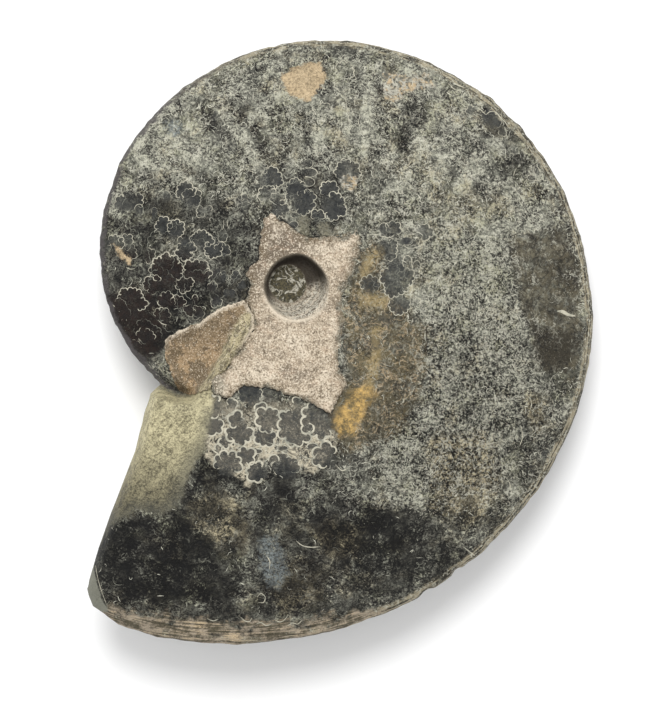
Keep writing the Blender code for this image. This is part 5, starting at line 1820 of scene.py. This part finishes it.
def build_stone(sizes, colours):
    """The dark stone: two flanks sewn together at the keel."""
    loop = rim_loop(RIM_STEP)
    outline = rim_loop(OUTLINE_STEP)
    front = flank_points(loop, outline, FRONT_ROWS, sizes.front_spacing)
    back = flank_points(loop, outline, BACK_ROWS, sizes.back_spacing)
    plan = np.vstack([loop, front, back])
    height = np.concatenate([middle_height(loop), stone_surface(front, sizes),
                             stone_underside(back, sizes)])
    front_side = np.vstack([loop, front])
    upper_marks = front_marks(front_side)
    under_marks = back_marks(back)
    marks = {name: np.concatenate([upper_marks[name], under_marks[name]]) for name in upper_marks}
    shift = len(front)
    back_faces = triangles(loop, back)
    under = [[i if i < len(loop) else i + shift for i in (a, c, b)] for a, b, c in back_faces]
    faces = triangles(loop, front) + under
    vertices = np.column_stack([worn_edge(plan, outline, sizes), height])
    bake = flat_plan(vertices, len(front_side))
    stone = add_piece("ammonite_stone", vertices, faces, stone_material(colours), marks, bake)
    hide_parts(NODE)


def covered(points):
    """Whether the crust, the tongue, the sand or a spot covers the lines, or the keel is near."""
    layers = nearest_edge(points, [CRUST, TONGUE]) > LINE_OVERLAP
    mud = nearest_edge(points, [MUD]) > 0.0
    spots = nearest_edge(points, TAN_SPOTS) > SPOT_OVERLAP
    rim = inside_distance(points, rim_loop(OUTLINE_STEP)) < LINE_MARGIN
    return layers | mud | spots | rim


def ribbons(lines, sizes, spacing, breaks):
    """Vertices and faces of raised ribbons along lines of x, y, strength and width."""
    broad, fine = breaks
    runs = [even_steps(line, spacing) for line in lines]
    stations = np.vstack(runs)
    along = np.vstack([np.gradient(run[:, :2], axis=0) for run in runs])
    across = to_right(along / np.maximum(lengths(along), 1e-9)[:, None])
    points = stations[:, :2]
    shows = stations[:, 2] - LINE_LIMIT + broad * soft_noise(points, 3.0 * MM, 40.0, 3)
    shows = shows + fine * soft_noise(points, 0.8 * MM, 45.0)
    shows = np.where(covered(points), -1.0, np.clip(LINE_GROWTH * shows, -1.0, 1.0))
    half = 0.5 * stations[:, 3] * (1.0 + 0.3 * soft_noise(points, 1.3 * MM, 50.0))
    half = half * (0.6 + 0.4 * np.clip(shows, 0.0, 1.0))
    foot = -0.5 * sizes.line_height
    rows = []
    for side, lift in ((-half, foot), (0.0 * half, sizes.line_height * shows), (half, foot)):
        plan = points + across * side[:, None]
        rows.append(np.column_stack([plan, stone_surface(plan, sizes) + lift]))
    vertices = np.stack(rows, axis=1).reshape(-1, 3)
    faces = []
    start = 0
    for run in runs:
        for i in range(start, start + len(run) - 1):
            if shows[i] > LINE_CUT and shows[i + 1] > LINE_CUT:
                a = 3 * i
                faces.append((a, a + 1, a + 4, a + 3))
                faces.append((a + 1, a + 2, a + 5, a + 4))
        start += len(run)
    return vertices, faces


def without_loose(vertices, faces):
    """Leave out the vertices that no face uses."""
    used = sorted({i for face in faces for i in face})
    place = {old: new for new, old in enumerate(used)}
    return vertices[used], [tuple(place[i] for i in face) for face in faces]


def build_lines(name, lines, sizes, spacing, material, breaks):
    """A piece of raised cream lines on the upper flank, left out where something covers them."""
    vertices, faces = without_loose(*ribbons(lines, sizes, spacing, breaks))
    add_piece(name, vertices, faces, material, {}, flat_plan(vertices, len(vertices)))


def build_sutures(sizes, colours):
    """The suture lines of the upper flank, and the flecks strewn over it."""
    cream = calcite_material("cream calcite", colours.cream, colours.light)
    faint = calcite_material("faint calcite", colours.light, colours.grey)
    clear = leaf_lines(sizes) + stroke_lines()
    build_lines("suture_lines", clear, sizes, sizes.line_spacing, cream, CLEAR_BREAKS)
    build_lines("faint_suture_lines", suture_lines(sizes), sizes, sizes.fleck_spacing, faint,
                FAINT_BREAKS)
    pale = calcite_material("pale flecks", colours.fleck, colours.grey)
    flecks = fleck_lines(rim_loop(OUTLINE_STEP))
    build_lines("calcite_flecks", flecks, sizes, sizes.fleck_spacing, pale, FLECK_BREAKS)


def ragged_loop(corners, step, sway, layer):
    """A closed outline with a finely broken edge."""
    loop = divide(np.vstack([metres(corners), metres(corners[:1])]), step)
    rough = 0.6 * soft_noise(loop, 1.8 * MM, layer, 3) + 0.4 * soft_noise(loop, 0.5 * MM, layer + 1.0)
    return loop + outward(loop) * (rough * sway)[:, None]


def slab_bottom(points, sizes):
    """Height of the hidden underside of a layer."""
    return bare_surface(points, sizes) - SLAB_SINK


def slab(loop, spacing, top, bottom, sizes):
    """A closed layer of stone over an outline, and how many of its vertices are on its upper side."""
    inner = grid_inside(loop, spacing, 0.6 * spacing)
    lower = grid_inside(loop, HIDDEN_SPACING * spacing, 2.0 * spacing)
    plan = np.vstack([loop, inner, loop, lower])
    upper_height = top(np.vstack([loop, inner]), loop, sizes)
    height = np.concatenate([upper_height, bottom(np.vstack([loop, lower]), sizes)])
    upper_faces = triangles(loop, inner)
    shift = len(loop) + len(inner)
    lower_faces = [(a + shift, c + shift, b + shift) for a, b, c in triangles(loop, lower)]
    clockwise = 0.0 > sum(a[0] * b[1] - a[1] * b[0] for a, b in zip(loop, np.roll(loop, -1, axis=0)))
    walls = []
    for i in range(len(loop)):
        j = (i + 1) % len(loop)
        walls.append((i, j, j + shift, i + shift) if clockwise else (j, i, i + shift, j + shift))
    return np.column_stack([plan, height]), upper_faces + lower_faces + walls, shift


def sandy_relief(points, layer):
    """Uneven sandstone from broad swells down to grains, between about -1 and 1."""
    swell = 0.5 * soft_noise(points, 3.2 * MM, layer, 3)
    knobs = 0.3 * soft_noise(points, 0.9 * MM, layer + 2.0, 2)
    grains = 0.28 * soft_noise(points, 0.36 * MM, layer + 4.0)
    return swell + knobs + grains


def edge_height(inside, low, width):
    """Height of a layer as a share, from low at its edge to 1 at that distance inside it."""
    return low + (1.0 - low) * smooth(0.0, width, inside)


def lip_share(radius, angle, sizes):
    """The raised lip along the south side of the bowl, which faces the lamp and gets a painted
    highlight, from 0 to 1.
    """
    south = np.clip(-np.cos(np.radians(angle - LIP_ANGLE)) - 0.1, 0.0, 1.0)
    return np.exp(-((radius - sizes.bowl_radius) / LIP_WIDTH) ** 2) * south


def crust_top(points, loop, sizes):
    """Height of the crust, with the bowl of the umbilicus and its raised lip."""
    inside = inside_distance(points, loop)
    side = soft_side(points)
    step = edge_height(inside, *CRUST_STEP)
    gentle = edge_height(inside, *CRUST_GENTLE)
    edge = step * (1.0 - side) + gentle * side
    north = smooth(*CRUST_NORTH, points[:, 1])
    thickness = sizes.crust_height * edge * (1.0 - CRUST_NORTH_LOSS * north)
    radius, angle, _ = bowl_places(points)
    in_bowl = smooth(-0.2 * MM, 0.8 * MM, sizes.bowl_radius - radius)
    lip = LIP_HEIGHT * lip_share(radius, angle, sizes)
    rough = CRUST_ROUGHNESS * sandy_relief(points, 62.0) * (1.0 - 0.5 * in_bowl)
    return bare_surface(points, sizes) + thickness + lip + rough


def crust_bottom(points, sizes):
    """Height of the crust's hidden underside, which is deeper below the bowl."""
    radius, _ = polar(points, BOWL_CENTRE)
    under_bowl = 1.3 * BOWL_SINK * smooth(2.5 * MM, 1.2 * MM, radius - sizes.bowl_radius)
    return slab_bottom(points, sizes) - under_bowl


def crust_marks(points, loop, sizes):
    """Values for the crust's material: where its edges, its grey places and its bowl are, where the
    painted shade of the bowl's north side lies, and its lip with a painted highlight.
    """
    radius, angle, disc = bowl_places(points)
    facing = 0.5 + 0.5 * np.cos(np.radians(angle - BOWL_STEEP_ANGLE))
    beside_disc = smooth(-0.3 * MM, 0.2 * MM, disc - sizes.disc_radius)
    between = smooth(0.0, 0.5 * MM, sizes.bowl_radius - radius) * beside_disc
    from_edge = inside_distance(points, loop)
    from_bowl = (points - np.array(BOWL_CENTRE)) / MM
    return {
        "north": 0.78 * from_bowl[:, 1] - 0.62 * from_bowl[:, 0],
        "bowl": (sizes.bowl_radius - radius) / MM,
        "disc": (sizes.disc_radius - disc) / MM,
        "from_edge": from_edge / MM,
        "thin": (CRUST_THINNING * soft_side(points) - from_edge) / MM,
        "grey": nearest_edge(points, [CRUST_GREY]),
        # Painted shade on the bowl's north side, whose wall faces away from the lamp
        "wall": between * smooth(0.22, 0.6, facing),
        "lip": lip_share(radius, angle, sizes),
    }


def build_crust(sizes, colours):
    """The star-shaped sandstone crust with the bowl of the umbilicus in it."""
    loop = ragged_loop(CRUST, *CRUST_BREAK)
    vertices, faces, front_count = slab(loop, sizes.crust_spacing, crust_top, crust_bottom, sizes)
    marks = crust_marks(vertices[:, :2], loop, sizes)
    bake = flat_plan(vertices, front_count)
    add_piece("sandstone_crust", vertices, faces, crust_material(colours), marks, bake)


def tongue_top(points, loop, sizes):
    """Height of the tongue, with its low step and its rough grains."""
    edge = edge_height(inside_distance(points, loop), *TONGUE_EDGE)
    height = bare_surface(points, sizes) + sizes.tongue_height * edge
    return height + TONGUE_ROUGHNESS * sandy_relief(points, 72.0)


def build_tongue(sizes, colours):
    """The tongue of darker sandstone on the whorl before, with its strip beside the crust."""
    loop = ragged_loop(TONGUE, *TONGUE_BREAK)
    spacing = TONGUE_SPACING * sizes.crust_spacing
    vertices, faces, front_count = slab(loop, spacing, tongue_top, slab_bottom, sizes)
    plan = vertices[:, :2]
    marks = {"strip": nearest_edge(plan, [STRIP]), "from_edge": inside_distance(plan, loop) / MM}
    bake = flat_plan(vertices, front_count)
    add_piece("sandstone_tongue", vertices, faces, tongue_material(colours), marks, bake)


def build_stage(colours):
    """Floor, soft light from the north, white surroundings and the camera looking down."""
    scene = bpy.context.scene
    mesh = bpy.data.meshes.new("floor")
    corners = [(-1, -1), (1, -1), (1, 1), (-1, 1)]
    mesh.from_pydata([(x * FLOOR_HALF, y * FLOOR_HALF, 0.0) for x, y in corners], [], [(0, 1, 2, 3)])
    material, _, shader = new_material("pale floor", 0.9, 0.2)
    shader.inputs["Base Color"].default_value = colours.floor
    mesh.materials.append(material)
    floor = bpy.data.objects.new("floor", mesh)
    scene.collection.objects.link(floor)

    world = bpy.data.worlds.new("white surroundings")
    world.use_nodes = True
    sky = world.node_tree.nodes["Background"]
    sky.inputs["Color"].default_value = (1.0, 1.0, 1.0, 1.0)
    sky.inputs["Strength"].default_value = SKY_STRENGTH
    scene.world = world

    lamp = bpy.data.lights.new("soft key", "AREA")
    lamp.shape = "DISK"
    lamp.size = LAMP_SIZE
    lamp.energy = LAMP_ENERGY
    key = bpy.data.objects.new("soft key", lamp)
    key.location = LAMP_PLACE
    key.rotation_mode = "QUATERNION"
    key.rotation_quaternion = Vector(LAMP_PLACE).to_track_quat("Z", "Y")
    scene.collection.objects.link(key)

    lens = bpy.data.cameras.new("camera")
    lens.sensor_width = SENSOR
    lens.lens = SENSOR * CAMERA_DISTANCE / PHOTO_HEIGHT
    lens.clip_start, lens.clip_end = CAMERA_CLIP
    camera = bpy.data.objects.new("camera", lens)
    camera.location = (*CAMERA_PLACE, CAMERA_DISTANCE + KEEL_PLANE)
    scene.collection.objects.link(camera)
    scene.camera = camera
    scene.view_settings.view_transform = "Standard"


class FOSSIL_OT_stone(bpy.types.Operator):
    """Build the dark stone in place of the CAD solid"""

    bl_idname = "fossil.stone"
    bl_label = "Dark stone"

    def execute(self, context):
        build_stone(context.scene.fossil_sizes, context.scene.fossil_colours)
        return {"FINISHED"}


class FOSSIL_OT_sutures(bpy.types.Operator):
    """Lay the cream suture lines into the stone"""

    bl_idname = "fossil.sutures"
    bl_label = "Suture lines"

    def execute(self, context):
        build_sutures(context.scene.fossil_sizes, context.scene.fossil_colours)
        return {"FINISHED"}


class FOSSIL_OT_crust(bpy.types.Operator):
    """Lay the sandstone crust and its tongue on the stone"""

    bl_idname = "fossil.crust"
    bl_label = "Sandstone crust"

    def execute(self, context):
        build_crust(context.scene.fossil_sizes, context.scene.fossil_colours)
        build_tongue(context.scene.fossil_sizes, context.scene.fossil_colours)
        return {"FINISHED"}


class FOSSIL_OT_stage(bpy.types.Operator):
    """Add the floor, the light and the camera"""

    bl_idname = "fossil.stage"
    bl_label = "Stage"

    def execute(self, context):
        build_stage(context.scene.fossil_colours)
        return {"FINISHED"}


class FOSSIL_PT_panel(bpy.types.Panel):
    """Lists the pieces of the fossil and its sizes and colours"""

    bl_idname = "FOSSIL_PT_panel"
    bl_label = "Ammonite fossil"
    bl_space_type = "VIEW_3D"
    bl_region_type = "UI"
    bl_category = "Ammonite"

    def draw(self, context):
        for operator in OPERATORS:
            self.layout.operator(operator.bl_idname)
        for group in (context.scene.fossil_sizes, context.scene.fossil_colours):
            column = self.layout.column()
            for name in group.__annotations__:
                column.prop(group, name)


OPERATORS = (FOSSIL_OT_stone, FOSSIL_OT_sutures, FOSSIL_OT_crust, FOSSIL_OT_stage)
CLASSES = (FossilSizes, FossilColours, *OPERATORS, FOSSIL_PT_panel)


def register():
    """Register the classes and give the scene its settings."""
    for item in CLASSES:
        bpy.utils.register_class(item)
    bpy.types.Scene.fossil_sizes = bpy.props.PointerProperty(type=FossilSizes)
    bpy.types.Scene.fossil_colours = bpy.props.PointerProperty(type=FossilColours)


def unregister():
    """Take the settings and the classes away again."""
    del bpy.types.Scene.fossil_colours
    del bpy.types.Scene.fossil_sizes
    for item in reversed(CLASSES):
        bpy.utils.unregister_class(item)


def main():
    """Build every piece and the stage."""
    register()
    bpy.ops.fossil.stone()
    bpy.ops.fossil.sutures()
    bpy.ops.fossil.crust()
    bpy.ops.fossil.stage()


if __name__ == "__main__":
    main()
